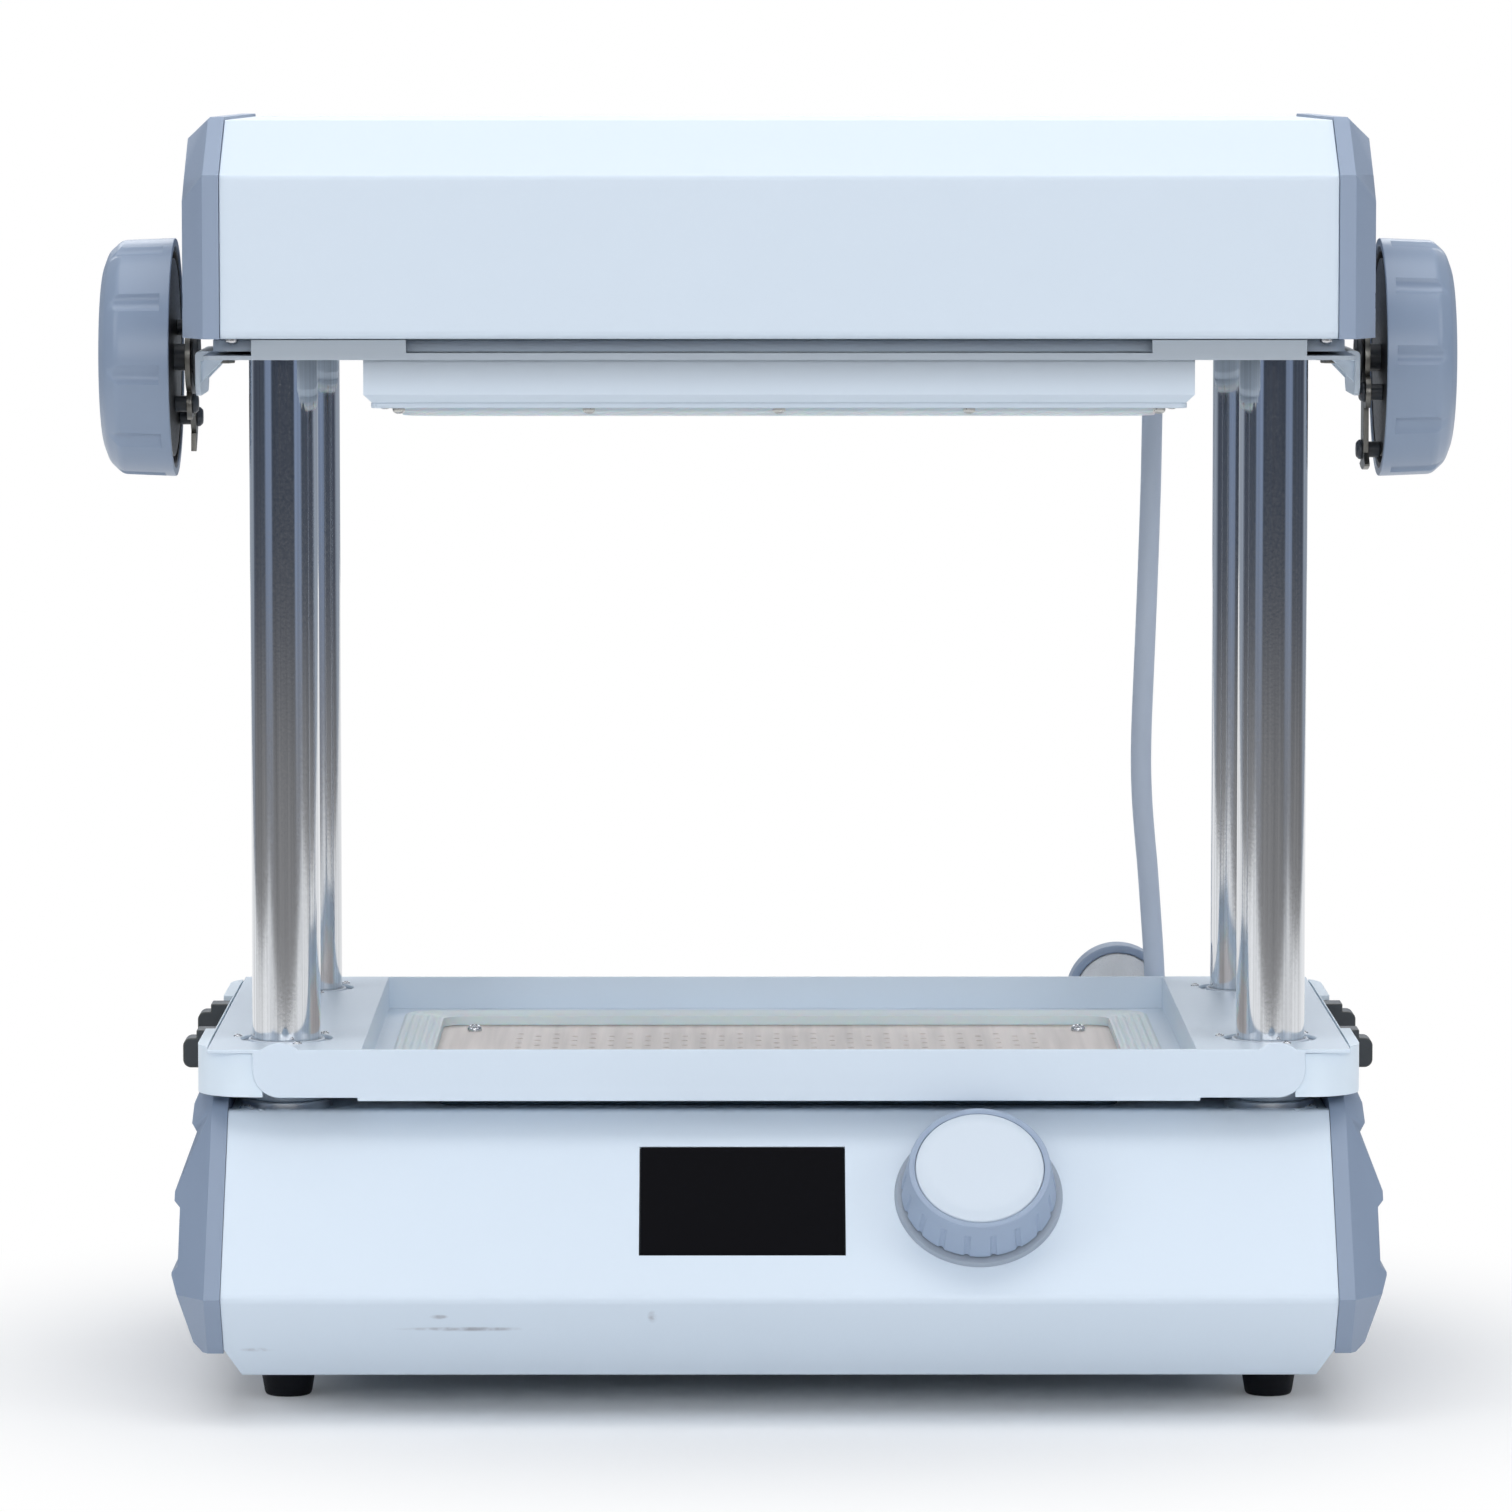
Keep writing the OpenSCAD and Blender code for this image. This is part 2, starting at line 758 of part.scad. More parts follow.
// Display: dark glass that is flush with the panel, and the module behind it
module display_glass() color(dark) on_panel(-display_left, display_down) translate([0, 0, -glass_t])
    linear_extrude(glass_t) square([display_w, display_h], center = true);
module display_module() color([0.2, 0.22, 0.25]) on_panel(-display_left, display_down)
    translate([0, 0, -sheet_t - module_t]) linear_extrude(module_t)
        square([display_w + 2 * module_edge, display_h + 2 * module_edge], center = true);

// Trim ring that the knob stands in
module knob_ring() color(grey_blue) on_panel(knob_right, knob_down) difference() {
    cylinder(h = knob_ring_t, d1 = knob_ring_d, d2 = knob_ring_d - knob_ring_t);
    translate([0, 0, -over]) cylinder(h = knob_ring_t + 2 * over, d = knob_hub_d + 2 * knob_wall);
}

// Push encoder behind the panel: housing with a hollow nose that looks out of the panel
module knob_encoder() color(steel) on_panel(knob_right, knob_down) difference() {
    union() {
        translate([0, 0, -sheet_t - encoder_h]) linear_extrude(encoder_h) square(encoder_w, center = true);
        translate([0, 0, -sheet_t - over]) cylinder(h = sheet_t + over + nose_h, d = nose_d);
    }
    translate([0, 0, encoder_floor - sheet_t - encoder_h])
        cylinder(h = encoder_h + sheet_t + nose_h, d = shaft_d + 2 * run_gap);
}

// Plunger that goes down with the knob
module encoder_plunger() color(dark) on_panel(knob_right, knob_down) translate([0, 0, plunger_z])
    cylinder(h = plunger_h, d = shaft_d);

// Knob: tapered grip with notches and its shaft in one piece
module knob_grip() color(grey_blue) on_panel(knob_right, knob_down) {
    grip_h = knob_h - face_rise;
    low = plunger_z + plunger_h + run_gap;
    rim_r = (knob_d - knob_taper) / 2;
    floor_h = grip_h - face_t;
    difference() {
        rotate_extrude() polygon([
            [0, low],
            [shaft_d / 2, low],
            [shaft_d / 2, knob_foot],
            [knob_hub_d / 2, knob_foot],
            [knob_hub_d / 2, floor_h - knob_wall],
            [rim_r - knob_wall, floor_h - knob_wall],
            [knob_d / 2 - knob_wall, knob_foot],
            [knob_d / 2, knob_foot],
            [rim_r, grip_h],
            [rim_r - face_in, grip_h],
            [rim_r - face_in, floor_h],
            [0, floor_h]
        ]);
        for (k = [0:notch_n - 1]) rotate(k * 360 / notch_n)
            translate([knob_d / 2 + knob_notch_d / 2 - knob_notch_depth, 0, knob_foot])
                rotate([0, -atan2(knob_taper / 2, grip_h - knob_foot), 0]) translate([0, 0, -over])
                    cylinder(h = floor_h - knob_notch_stop + over, d = knob_notch_d, $fn = 24);
    }
}

// White face that lies in the knob's rim
module knob_face() color([0.9, 0.92, 0.96]) on_panel(knob_right, knob_down) {
    face_r = (knob_d - knob_taper) / 2 - face_in - gap / 2;
    low = knob_h - face_rise - face_t;
    rotate_extrude() polygon([
        [0, low],
        [face_r, low],
        [face_r, low + face_t],
        [face_r - face_rise, knob_h - face_rise / 3],
        [face_r - 3 * face_rise, knob_h],
        [0, knob_h]
    ]);
}

// Forming table with its staggered suction holes
module forming_table() color([0.8, 0.74, 0.7]) mid(box_top) linear_extrude(table_t) difference() {
    nx = floor((box_w / 2 - box_wall - hole_pitch) / hole_pitch);
    ny = floor((box_d / 2 - box_wall - hole_pitch) / hole_pitch);
    round_rect(table_w, table_d, table_corner);
    for (i = [-nx:nx], j = [-ny:ny])
        translate([i * hole_pitch, j * hole_pitch]) circle(d = hole_d, $fn = 16);
    for (i = [-nx:nx - 1], j = [-ny:ny - 1])
        translate([(i + half_share) * hole_pitch, (j + half_share) * hole_pitch])
            circle(d = hole_d, $fn = 16);
}

// Vacuum box below the table: open at the top, with a rim on the deck and the pipe to the pump
module vacuum_box() color([0.3, 0.32, 0.34]) difference() {
    union() {
        mid(box_z) linear_extrude(box_top - box_z) round_rect(box_w, box_d, table_corner);
        mid(deck_top) linear_extrude(box_rim_t)
            round_rect(box_w + 2 * box_rim, box_d + 2 * box_rim, table_corner);
        translate([pump_x, col_mid_y, pump_z]) cylinder(h = box_z - pump_z, d = pipe_d);
    }
    mid(box_z + box_wall) linear_extrude(box_top - box_z)
        round_rect(box_w - 2 * box_wall, box_d - 2 * box_wall, table_corner - box_wall);
    translate([pump_x, col_mid_y, pump_z - over]) cylinder(h = box_z, d = pipe_d - 2 * pipe_wall);
}

// Pump on its saddles below the vacuum box, with the socket for the pipe
module vacuum_pump() color(dark) difference() {
    union() {
        translate([pump_x, col_mid_y - pump_l / 2, pump_z]) rotate([-90, 0, 0])
            cylinder(h = pump_l, d = pump_d);
        for (y = [-pump_l / 3, pump_l / 3])
            block([pump_x - saddle_w / 2, col_mid_y + y - saddle_l / 2, floor_top],
                [pump_x + saddle_w / 2, col_mid_y + y + saddle_l / 2, pump_z]);
    }
    translate([pump_x, col_mid_y, pump_z - gap]) cylinder(h = pump_d, d = pipe_d + 2 * gap);
}

// Control board on its posts
module control_board() color([0.1, 0.35, 0.2]) {
    y0 = under_y + boss_in;
    low = floor_top + post_h;
    block([board_x - board_w / 2, y0, low], [board_x + board_w / 2, y0 + board_d, low + board_t]);
    for (x = [-1, 1], y = [post_in, board_d - post_in])
        translate([board_x + x * (board_w / 2 - post_in), y0 + y, floor_top])
            cylinder(h = post_h, d = post_d);
}

// Power supply on the floor, in front of the inlet
module power_supply() color([0.55, 0.56, 0.58])
    translate([supply_x - supply_w / 2, col_mid_y - supply_front, floor_top])
        cube([supply_w, supply_d, supply_h]);

// The columns stand on the floor and end inside the hood.
module column(x, y) color(steel) translate([x, y, floor_top]) cylinder(h = col_top - floor_top, d = col_d);
module column_front_left() column(-col_x, col_front);
module column_front_right() column(col_x, col_front);
module column_rear_left() column(-col_x, col_back);
module column_rear_right() column(col_x, col_back);

// Collars round each column, on the deck and in the hood
module column_collars() color([0.5, 0.52, 0.55]) at_columns() for (z = [deck_top, hood_floor_top])
    translate([0, 0, z]) difference() {
        cylinder(h = collar_t, d = collar_d);
        translate([0, 0, -over]) cylinder(h = collar_t + 2 * over, d = col_d + 2 * gap);
    }

// Front view of the sheet frame's turned-down edge, with round lower corners
module front_wall() {
    half = front_wall_w / 2;
    r = front_wall_r;
    translate([-half, front_wall_z + r]) square([2 * half, frame_top - front_wall_z - r]);
    translate([-half + r, front_wall_z]) square([2 * (half - r), frame_top - front_wall_z]);
    for (x = [-1, 1]) translate([x * (half - r), front_wall_z + r]) circle(r);
}

// Sheet frame: a top plate on each side, the recess between them and the window in its floor
module sheet_frame() color(white) difference() {
    half = recess_w / 2;
    union() {
        both_sides() {
            block([half - sheet_t, frame_front, frame_top - sheet_t], [frame_w / 2, frame_back, frame_top]);
            block([half - sheet_t, frame_front, tray_wall_z], [half, frame_back, frame_top]);
        }
        for (y = [frame_front, frame_back - sheet_t]) {
            block([-half, y, tray_wall_z], [half, y + sheet_t, frame_top]);
            along_y(y, y + sheet_t) front_wall();
        }
        mid(recess_floor - sheet_t) linear_extrude(sheet_t) square([recess_w, frame_d], center = true);
    }
    mid(recess_floor - sheet_t - over) linear_extrude(sheet_t + 2 * over)
        round_rect(window_w, window_d, window_r);
    at_columns() translate([0, 0, frame_top - sheet_t - over])
        cylinder(h = sheet_t + 2 * over, d = bush_d + 2 * gap);
}

// Plan of the skirts, wrapped round the frame's corners, set in by a distance
module skirt_plan(in) difference() {
    depth = frame_d - 2 * sheet_t - 2 * gap;
    round_rect(frame_w + 2 * skirt_out - 2 * in, depth - 2 * in, skirt_r - in);
    square([2 * skirt_start, frame_d], center = true);
}

// Side skirts that step in where the lock keepers are
module frame_skirts() color(white) {
    low = front_wall_z;
    under = frame_top - sheet_t - gap;
    dip_x = frame_w / 2 + skirt_out - dip_depth;
    difference() {
        union() {
            mid(low) linear_extrude(under - low) skirt_plan(0);
            mid(low) linear_extrude(frame_top - low) difference() {
                skirt_plan(0);
                square([frame_w + 2 * gap, frame_d], center = true);
            }
        }
        mid(low - over) linear_extrude(frame_top - low + 2 * over) skirt_plan(skirt_t);
        both_sides() block([dip_x, col_mid_y - dip_l / 2, low - over],
            [dip_x + dip_depth + over, col_mid_y + dip_l / 2, frame_top + over]);
    }
    both_sides() block([dip_x - skirt_t, col_mid_y - dip_l / 2 - skirt_t, low],
        [dip_x, col_mid_y + dip_l / 2 + skirt_t, under]);
}

// Silicone seal that lines the floor of the recess
module frame_seal() color([0.8, 0.86, 0.85]) mid(recess_floor)
    round_ring(recess_w - 2 * sheet_t - 2 * gap, frame_d - 2 * sheet_t - 2 * gap, window_r / 2,
        window_w, window_d, window_r, seal_t);

// Flanged bushes that carry the sheet frame on the columns, with the screws on its plate
module frame_bushes() color(dark) at_columns() {
    low = deck_top + collar_t;
    difference() {
        union() {
            translate([0, 0, low]) cylinder(h = frame_top - low, d = bush_d);
            translate([0, 0, frame_top - sheet_t - bush_flange_t])
                cylinder(h = bush_flange_t, d = bush_flange_d);
        }
        translate([0, 0, low - over]) cylinder(h = frame_top, d = col_d + 2 * gap);
    }
    for (a = [0:120:240]) rotate(a + bush_screw_turn) translate([bush_screw_r, 0, frame_top])
        pan_head(bush_screw_d, bush_screw_h);
}

// Lock keepers: a strip on each side with two stepped blocks that the claws reach under
module lock_keepers() color(dark) both_sides() translate([0, col_mid_y, keeper_z]) {
    x0 = frame_w / 2 + skirt_out - dip_depth;
    block([x0, -keeper_y - keeper_l - strip_over, -strip_t],
        [x0 + strip_t, keeper_back_y + keeper_l + strip_over / 2, strip_h]);
    for (y = [-keeper_y - keeper_l, keeper_back_y]) along_y(y, y + keeper_l) {
        translate([x0, 0]) square([keeper_x - x0 - keeper_r, keeper_h]);
        translate([x0, keeper_r]) square([keeper_x - x0, keeper_h - 2 * keeper_r]);
        for (z = [keeper_r, keeper_h - keeper_r]) translate([keeper_x - keeper_r, z]) circle(keeper_r);
        translate([x0, keeper_h - over])
            square([keeper_x - x0 - keeper_r - keeper_step_in, keeper_step_h + over]);
    }
}

// Section of the clamping tray with its cut lower corners, set in by the wall
module tray_section(w, in, rise) polygon([
    [-w / 2 + in, carriage_z + sheet_t + rise],
    [-w / 2 + in, tray_z + tray_cut],
    [-w / 2 + tray_cut, tray_z + in],
    [w / 2 - tray_cut, tray_z + in],
    [w / 2 - in, tray_z + tray_cut],
    [w / 2 - in, carriage_z + sheet_t + rise]
]);

// Carriage plate with its upturned edges and the tray that clamps the sheet
module carriage_plate() color(white) difference() {
    union() {
        mid(carriage_z) linear_extrude(sheet_t) round_rect(frame_w, frame_d, tray_cut);
        for (y = [frame_front, frame_back - sheet_t]) difference() {
            block([-upstand_w / 2, y, carriage_z], [upstand_w / 2, y + sheet_t, carriage_z + upstand_h]);
            block([-notch_w / 2, y - over, carriage_z + notch_rise],
                [notch_w / 2, y + sheet_t + over, carriage_z + upstand_h + over]);
        }
        mid(0) intersection() {
            along_x(-tray_w / 2, tray_w / 2) tray_section(tray_d, 0, 0);
            along_y(-frame_d, frame_d) tray_section(tray_w, 0, 0);
        }
    }
    mid(0) intersection() {
        along_x(-tray_w / 2, tray_w / 2) tray_section(tray_d, sheet_t, over);
        along_y(-frame_d, frame_d) tray_section(tray_w, sheet_t, over);
    }
    mid(tray_z - over) linear_extrude(sheet_t + 2 * over) round_rect(window_w, window_d, window_r);
    at_columns() translate([0, 0, carriage_z - over])
        cylinder(h = sheet_t + 2 * over, d = bush_d + 2 * run_gap);
}

// Retainer ring below the tray, the clamping gasket below it and the screws round it
module retainer_ring() color([0.7, 0.73, 0.76]) mid(ring_z)
    round_ring(ring_w, ring_d, tray_cut, window_w, window_d, window_r, ring_t);
module clamp_gasket() color([0.74, 0.78, 0.82]) mid(gasket_z) {
    translate([0, 0, gasket_step])
        round_ring(gasket_w, gasket_d, window_r + gasket_in, window_w, window_d, window_r,
            gasket_t - gasket_step);
    round_ring(gasket_w - gasket_in, gasket_d - gasket_in, window_r + gasket_in / 2,
        window_w + gasket_in / 2, window_d + gasket_in / 2, window_r, gasket_step);
}
module ring_screws() color(steel) mid(ring_z) mirror([0, 0, 1]) {
    for (x = [-2:2], y = [-1, 1])
        translate([x * ring_screw_pitch, y * (ring_d / 2 - ring_screw_in)])
            pan_head(ring_screw_d, ring_screw_h);
    for (x = [-1, 1], y = [-1:1])
        translate([x * (ring_w / 2 - ring_screw_in), y * ring_screw_pitch])
            pan_head(ring_screw_d, ring_screw_h);
}

// Flanged bushes that guide the carriage on the columns
module carriage_bushes() color(dark) at_columns() translate([0, 0, carriage_z]) difference() {
    union() {
        cylinder(h = upstand_h, d = bush_d);
        translate([0, 0, sheet_t]) cylinder(h = carriage_flange_t, d = carriage_flange_d);
    }
    translate([0, 0, -over]) cylinder(h = upstand_h + 2 * over, d = col_d + 2 * run_gap);
}

// Angle brackets that carry the wheels: a tab below the plate, a flange with a round bend and two gussets
module wheel_brackets() color(white) both_sides() mid(0) {
    out = flange_x + flange_t;
    low = carriage_z - flange_h;
    bend_z = carriage_z - tab_t;
    block([tab_x, -flange_half, bend_z], [out - tab_t, flange_half, carriage_z]);
    translate([out - tab_t, flange_half, bend_z]) rotate([90, 0, 0])
        cylinder(h = 2 * flange_half, r = tab_t);
    along_x(flange_x, out) {
        translate([-flange_half, low + flange_r]) square([2 * flange_half, bend_z - low - flange_r]);
        translate([-flange_half + flange_r, low]) square([2 * (flange_half - flange_r), bend_z - low]);
        for (y = [-1, 1]) translate([y * (flange_half - flange_r), low + flange_r]) circle(flange_r);
    }
    for (y = [-gusset_y, gusset_y]) along_y(y - gusset_t / 2, y + gusset_t / 2) polygon([
        [flange_x + flange_t / 2, bend_z],
        [flange_x - gusset_run, bend_z],
        [flange_x, carriage_z - gusset_drop],
        [flange_x + flange_t / 2, carriage_z - gusset_drop]
    ]);
}

// Nuts below the tabs of the brackets
module bracket_nuts() color(steel) both_sides() mid(carriage_z - tab_t - nut_h)
    for (y = [-nut_y, nut_y]) translate([nut_x, y, 0]) cylinder(h = nut_h, d = nut_d, $fn = 6);

// Axle of each wheel: a round plate on the bracket's flange with the pin that the wheel turns on
module wheel_axles() color(steel) both_sides() mid(axle_z) {
    rod_x(axle_plate_x, axle_plate_x + axle_plate_t, 2 * axle_plate_r);
    rod_x(axle_plate_x, wheel_face - wheel_wall - axle_tip, axle_d);
}

// Handwheel: a cup with finger grooves, its hub and the ribs behind its face
module handwheel_cup() difference() {
    inner = wheel_face - wheel_wall;
    rib_r = wheel_r - wheel_edge_in - wheel_wall;
    union() {
        rotate([90, 0, 90]) rotate_extrude() polygon([
            [wheel_r, wheel_x],
            [wheel_r - wheel_draft, wheel_face - wheel_edge],
            [wheel_r - wheel_edge_in, wheel_face - wheel_dome],
            [wheel_dome_r, wheel_face],
            [0, wheel_face],
            [0, inner],
            [wheel_dome_r, inner],
            [wheel_r - wheel_edge_in - wheel_wall / 2, inner - wheel_dome],
            [wheel_r - wheel_draft - wheel_wall, wheel_face - wheel_edge - wheel_wall / 2],
            [wheel_r - wheel_wall, wheel_x]
        ]);
        rod_x(disc_x + disc_t, wheel_face - wheel_wall / 2, 2 * wheel_hub_r);
        for (a = [0:60:120]) rotate([a, 0, 0]) block([disc_x + disc_t, -rib_r, -wheel_rib_t / 2],
            [wheel_face - wheel_wall * 2 / 3, rib_r, wheel_rib_t / 2]);
    }
    for (k = [0:groove_n - 1]) rotate([k * 360 / groove_n, 0, 0])
        translate([0, 0, wheel_r - groove_depth + groove_r])
            rod_x(wheel_face - groove_run, wheel_face + over, 2 * groove_r);
    rod_x(wheel_x - over, inner, axle_d + 2 * run_gap);
}

// Dark disc that closes the cup and carries the claw
module lock_disc() difference() {
    rod_x(disc_x, disc_x + disc_t, 2 * disc_r);
    rod_x(disc_x - over, disc_x + disc_t + over, axle_d + 2 * run_gap);
}

// Steel claw: an eye round the axle, an arm, and a beak that lies below the keeper when the wheel is closed
module claw_plate() {
    drop = axle_z - travel - keeper_z + claw_clear;
    beak_y = sqrt(claw_reach * claw_reach - drop * drop) - claw_tip_in;
    along_x(claw_x, claw_x + claw_t) difference() {
        union() {
            circle(claw_eye_r);
            intersection() {
                circle(claw_reach, $fn = 96);
                union() {
                    translate([-claw_arm_w / 2, -claw_reach]) square([claw_arm_w, claw_reach]);
                    rotate(claw_close) polygon([
                        [-keeper_y + claw_arm_w / 3, -drop],
                        [-beak_y, -drop],
                        [-beak_y, -claw_reach],
                        [-claw_arm_w, -claw_reach]
                    ]);
                }
            }
            for (i = [0:len(post_reach) - 1]) rotate(-post_turn[i]) translate([0, -post_reach[i]])
                circle(standoff_d);
        }
        circle(claw_bore_r);
    }
}

// Standoffs between the claw and the disc, two of them with a pan head on the inner side
module claw_posts() for (i = [0:len(post_reach) - 1])
    rotate([-post_turn[i], 0, 0]) translate([0, 0, -post_reach[i]]) {
        rod_x(claw_x + claw_t, disc_x, standoff_d);
        if (i < headed_posts) translate([claw_x, 0, 0]) rotate([0, -90, 0])
            pan_head(claw_head_d, claw_head_t);
    }

// Places a part of a wheel on the axis, turned towards the front by an angle.
module on_axis(turn) mid(axle_z) rotate([-turn, 0, 0]) children();

module handwheel_left() color(grey_blue) mirror([1, 0, 0]) on_axis(left_turn) handwheel_cup();
module handwheel_right() color(grey_blue) on_axis(0) handwheel_cup();
module wheel_disc_left() color(dark) mirror([1, 0, 0]) on_axis(left_turn) lock_disc();
module wheel_disc_right() color(dark) on_axis(0) lock_disc();
module claw_left() color(steel) mirror([1, 0, 0]) on_axis(left_turn) claw_plate();
module claw_right() color(steel) on_axis(0) claw_plate();
module claw_posts_left() color(steel) mirror([1, 0, 0]) on_axis(left_turn) claw_posts();
module claw_posts_right() color(steel) on_axis(0) claw_posts();

// Hood: a shell folded from one sheet, with lips below
module hood_cover() color(white) difference() {
    along_x(-hood_x, hood_x) polygon(sheet_outline(rounded([
        [hood_back_y - hood_lip, hood_z],
        [hood_back_y, hood_z],
        [hood_back_y, hood_z + hood_face_h],
        [hood_back_y - hood_slant, hood_top],
        [hood_front_y + hood_slant, hood_top],
        [hood_front_y, hood_z + hood_face_h],
        [hood_front_y, hood_z],
        [hood_front_y + hood_lip, hood_z]
    ], bend_r), sheet_t));
    translate([cable_top_x, cable_y, hood_z - over]) cylinder(h = sheet_t + 2 * over, d = gland_d + 2 * gap);
}

// Floor of the hood on the shell's lips, with the heater's window, the column holes and upright ends
module hood_floor() color(white) difference() {
    union() {
        block([-hood_x, hood_front_y + hood_lip / 2, hood_floor_z],
            [hood_x, hood_back_y - hood_lip / 2, hood_floor_top]);
        both_sides() block([hood_x - sheet_t, hood_front_y + hood_side_in, hood_floor_z],
            [hood_x, hood_back_y - hood_side_in, hood_floor_z + hood_side_h]);
    }
    mid(hood_floor_z - over) linear_extrude(hood_floor_t + 2 * over) round_rect(bay_w, bay_d, window_r);
    at_columns() translate([0, 0, hood_floor_z - over])
        cylinder(h = hood_floor_t + 2 * over, d = col_d + 2 * gap);
    translate([cable_top_x, cable_y, hood_floor_z - over])
        cylinder(h = hood_floor_t + 2 * over, d = gland_d + 2 * gap);
}

// End cap of the hood: the side view and the front view of the moulding, with its cut edges
module hood_cap_body() {
    out = hood_x + hood_cap_t;
    face_z = hood_z + hood_face_h;
    size = hood_back_y - hood_front_y + hood_h;
    difference() {
        intersection() {
            along_x(hood_x + gap / 2, out + over) offset(delta = hood_proud) polygon([
                [hood_front_y, hood_z + hood_proud],
                [hood_front_y, face_z],
                [hood_front_y + hood_slant, hood_top],
                [hood_back_y - hood_slant, hood_top],
                [hood_back_y, face_z],
                [hood_back_y, hood_z + hood_proud]
            ]);
            along_y(hood_front_y - over, hood_back_y + over) polygon([
                [hood_x, hood_z],
                [out, hood_z],
                [out, groove_z],
                [out - groove_in, groove_z + gap],
                [out - groove_in, groove_z + groove_h - gap],
                [out, groove_z + groove_h],
                [out, hood_z + hood_cap_side_h],
                [out - hood_cap_knee_in, face_z],
                [out - hood_cap_side_in, hood_top - hood_cap_top_drop],
                [out - hood_cap_top_in, hood_top + hood_proud],
                [hood_x, hood_top + hood_proud]
            ]);
        }
        for (side = [-1, 1]) {
            y = side < 0 ? hood_front_y - hood_proud : hood_back_y + hood_proud;
            translate([out, y, face_z]) rotate([-90 * side, 0, 0])
                edge_cutter(hood_cap_edge, hood_cap_chamfer, size);
            translate([out, y, face_z]) rotate([-hood_tilt * side, 0, 0])
                edge_cutter(hood_cap_edge, hood_cap_chamfer, size);
        }
    }
}

// The moulding hollowed out, with the bosses that reach the ends of the hood's floor
module hood_cap() {
    hollow_x = hood_x + hood_cap_t - hood_cap_edge - cap_wall;
    in_y = hood_cap_chamfer / 2;
    difference() {
        hood_cap_body();
        along_x(hood_x - over, hollow_x) polygon([
            [hood_front_y + in_y, hood_z + cap_wall],
            [hood_front_y + in_y, hood_z + hood_face_h - cap_wall],
            [hood_front_y + hood_slant + cap_wall, hood_top - cap_wall],
            [hood_back_y - hood_slant - cap_wall, hood_top - cap_wall],
            [hood_back_y - in_y, hood_z + hood_face_h - cap_wall],
            [hood_back_y - in_y, hood_z + cap_wall]
        ]);
    }
    for (y = [hood_front_y + hood_slant, hood_back_y - hood_slant])
        translate([0, y, hood_z + hood_face_h / 2]) rod_x(hood_x + gap / 2, hollow_x + cap_wall / 2, boss_d);
}
module hood_cap_left() color(grey_blue) mirror([1, 0, 0]) hood_cap();
module hood_cap_right() color(grey_blue) hood_cap();

// Bright tray above the heating tubes, with a flange on the hood's floor
module reflector() color([0.85, 0.85, 0.83]) mid(hood_floor_top) difference() {
    union() {
        linear_extrude(bay_h) square([bay_w + 2 * bay_t, bay_d + 2 * bay_t], center = true);
        linear_extrude(bay_t) square([bay_w + 2 * bay_flange, bay_d + 2 * bay_flange], center = true);
    }
    translate([0, 0, -over]) linear_extrude(bay_h + over - bay_t) square([bay_w, bay_d], center = true);
}

// Heating tubes along X with a ceramic holder at each end
module heating_tubes() color([0.9, 0.87, 0.82]) mid(0) for (k = [0:tube_n - 1]) {
    half = bay_w / 2 - gap;
    translate([0, (k - (tube_n - 1) / 2) * tube_pitch, tube_z]) {
        rod_x(-half + tube_over, half - tube_over, tube_d);
        both_sides() block([half - holder_l, -holder_w / 2, -holder_h / 2],
            [half, holder_w / 2, holder_h / 2]);
    }
}

// Screws on the back of the hood
module hood_screws() color(steel) for (x = [-1:1])
    translate([x * (hood_x - hood_screw_in), hood_back_y, hood_z + hood_screw_h]) rotate([-90, 0, 0])
        pan_head(head_d, head_t);

// Heater cable: a round section swept along its route
module heater_cable() color([0.66, 0.71, 0.78]) {
    n = len(cable_route);
    points = [
        for (i = [0:n - 1]) let (
            tangent = unit(cable_route[min(i + 1, n - 1)] - cable_route[max(i - 1, 0)]),
            side = side_of(tangent)
        ) for (k = [0:cable_sides - 1]) let (
            a = k * 360 / cable_sides,
            p = cable_route[i] + side * cos(a) * cable_d / 2
        ) [p[0], cable_y + sin(a) * cable_d / 2, p[1]]
    ];
    faces = [
        [for (k = [0:cable_sides - 1]) k],
        [for (k = [cable_sides - 1:-1:0]) (n - 1) * cable_sides + k],
        for (i = [0:n - 2], k = [0:cable_sides - 1]) let (
            a = i * cable_sides + k,
            b = i * cable_sides + (k + 1) % cable_sides
        ) each [[b, a, a + cable_sides], [b, a + cable_sides, b + cable_sides]]
    ];
    polyhedron(points, faces);
}

// Cable gland that stands on Z = 0 with its thread below
module gland() difference() {
    union() {
        translate([0, 0, -gland_in]) cylinder(h = gland_in + over, d = gland_d);
        cylinder(h = gland_nut_h, d = gland_nut_d, $fn = 6);
        translate([0, 0, gland_nut_h - over / 2])
            cylinder(h = gland_l - gland_nut_h, d1 = gland_d, d2 = gland_tip_d);
    }
    translate([0, 0, -gland_in - over]) cylinder(h = gland_in + gland_l + 2 * over, d = cable_d + 2 * gap);
}
module cable_glands() color(dark) {
    translate([cable_low_x, cable_y, deck_top]) gland();
    translate([cable_top_x, cable_y, hood_z]) mirror([0, 0, 1]) gland();
}

// Filter cup of the pump on the deck, a drum along Y that is flat below, and the felt in it
module filter_drum(y0, y1, d) intersection() {
    translate([filter_x, y0, filter_z]) rotate([-90, 0, 0]) cylinder(h = y1 - y0, d = d);
    block([filter_x - d, y0 - over, deck_top + (filter_d - d) / 2], [filter_x + d, y1 + over, filter_z + d]);
}
module filter_cup() color(grey_blue) difference() {
    filter_drum(filter_y, filter_y + filter_l, filter_d);
    filter_drum(filter_y - over, filter_y + filter_l - filter_floor, filter_d - 2 * filter_wall);
}
module filter_felt() color([0.85, 0.86, 0.87])
    filter_drum(filter_y + felt_in, filter_y + filter_l - filter_floor,
        filter_d - 2 * filter_wall - 2 * gap);

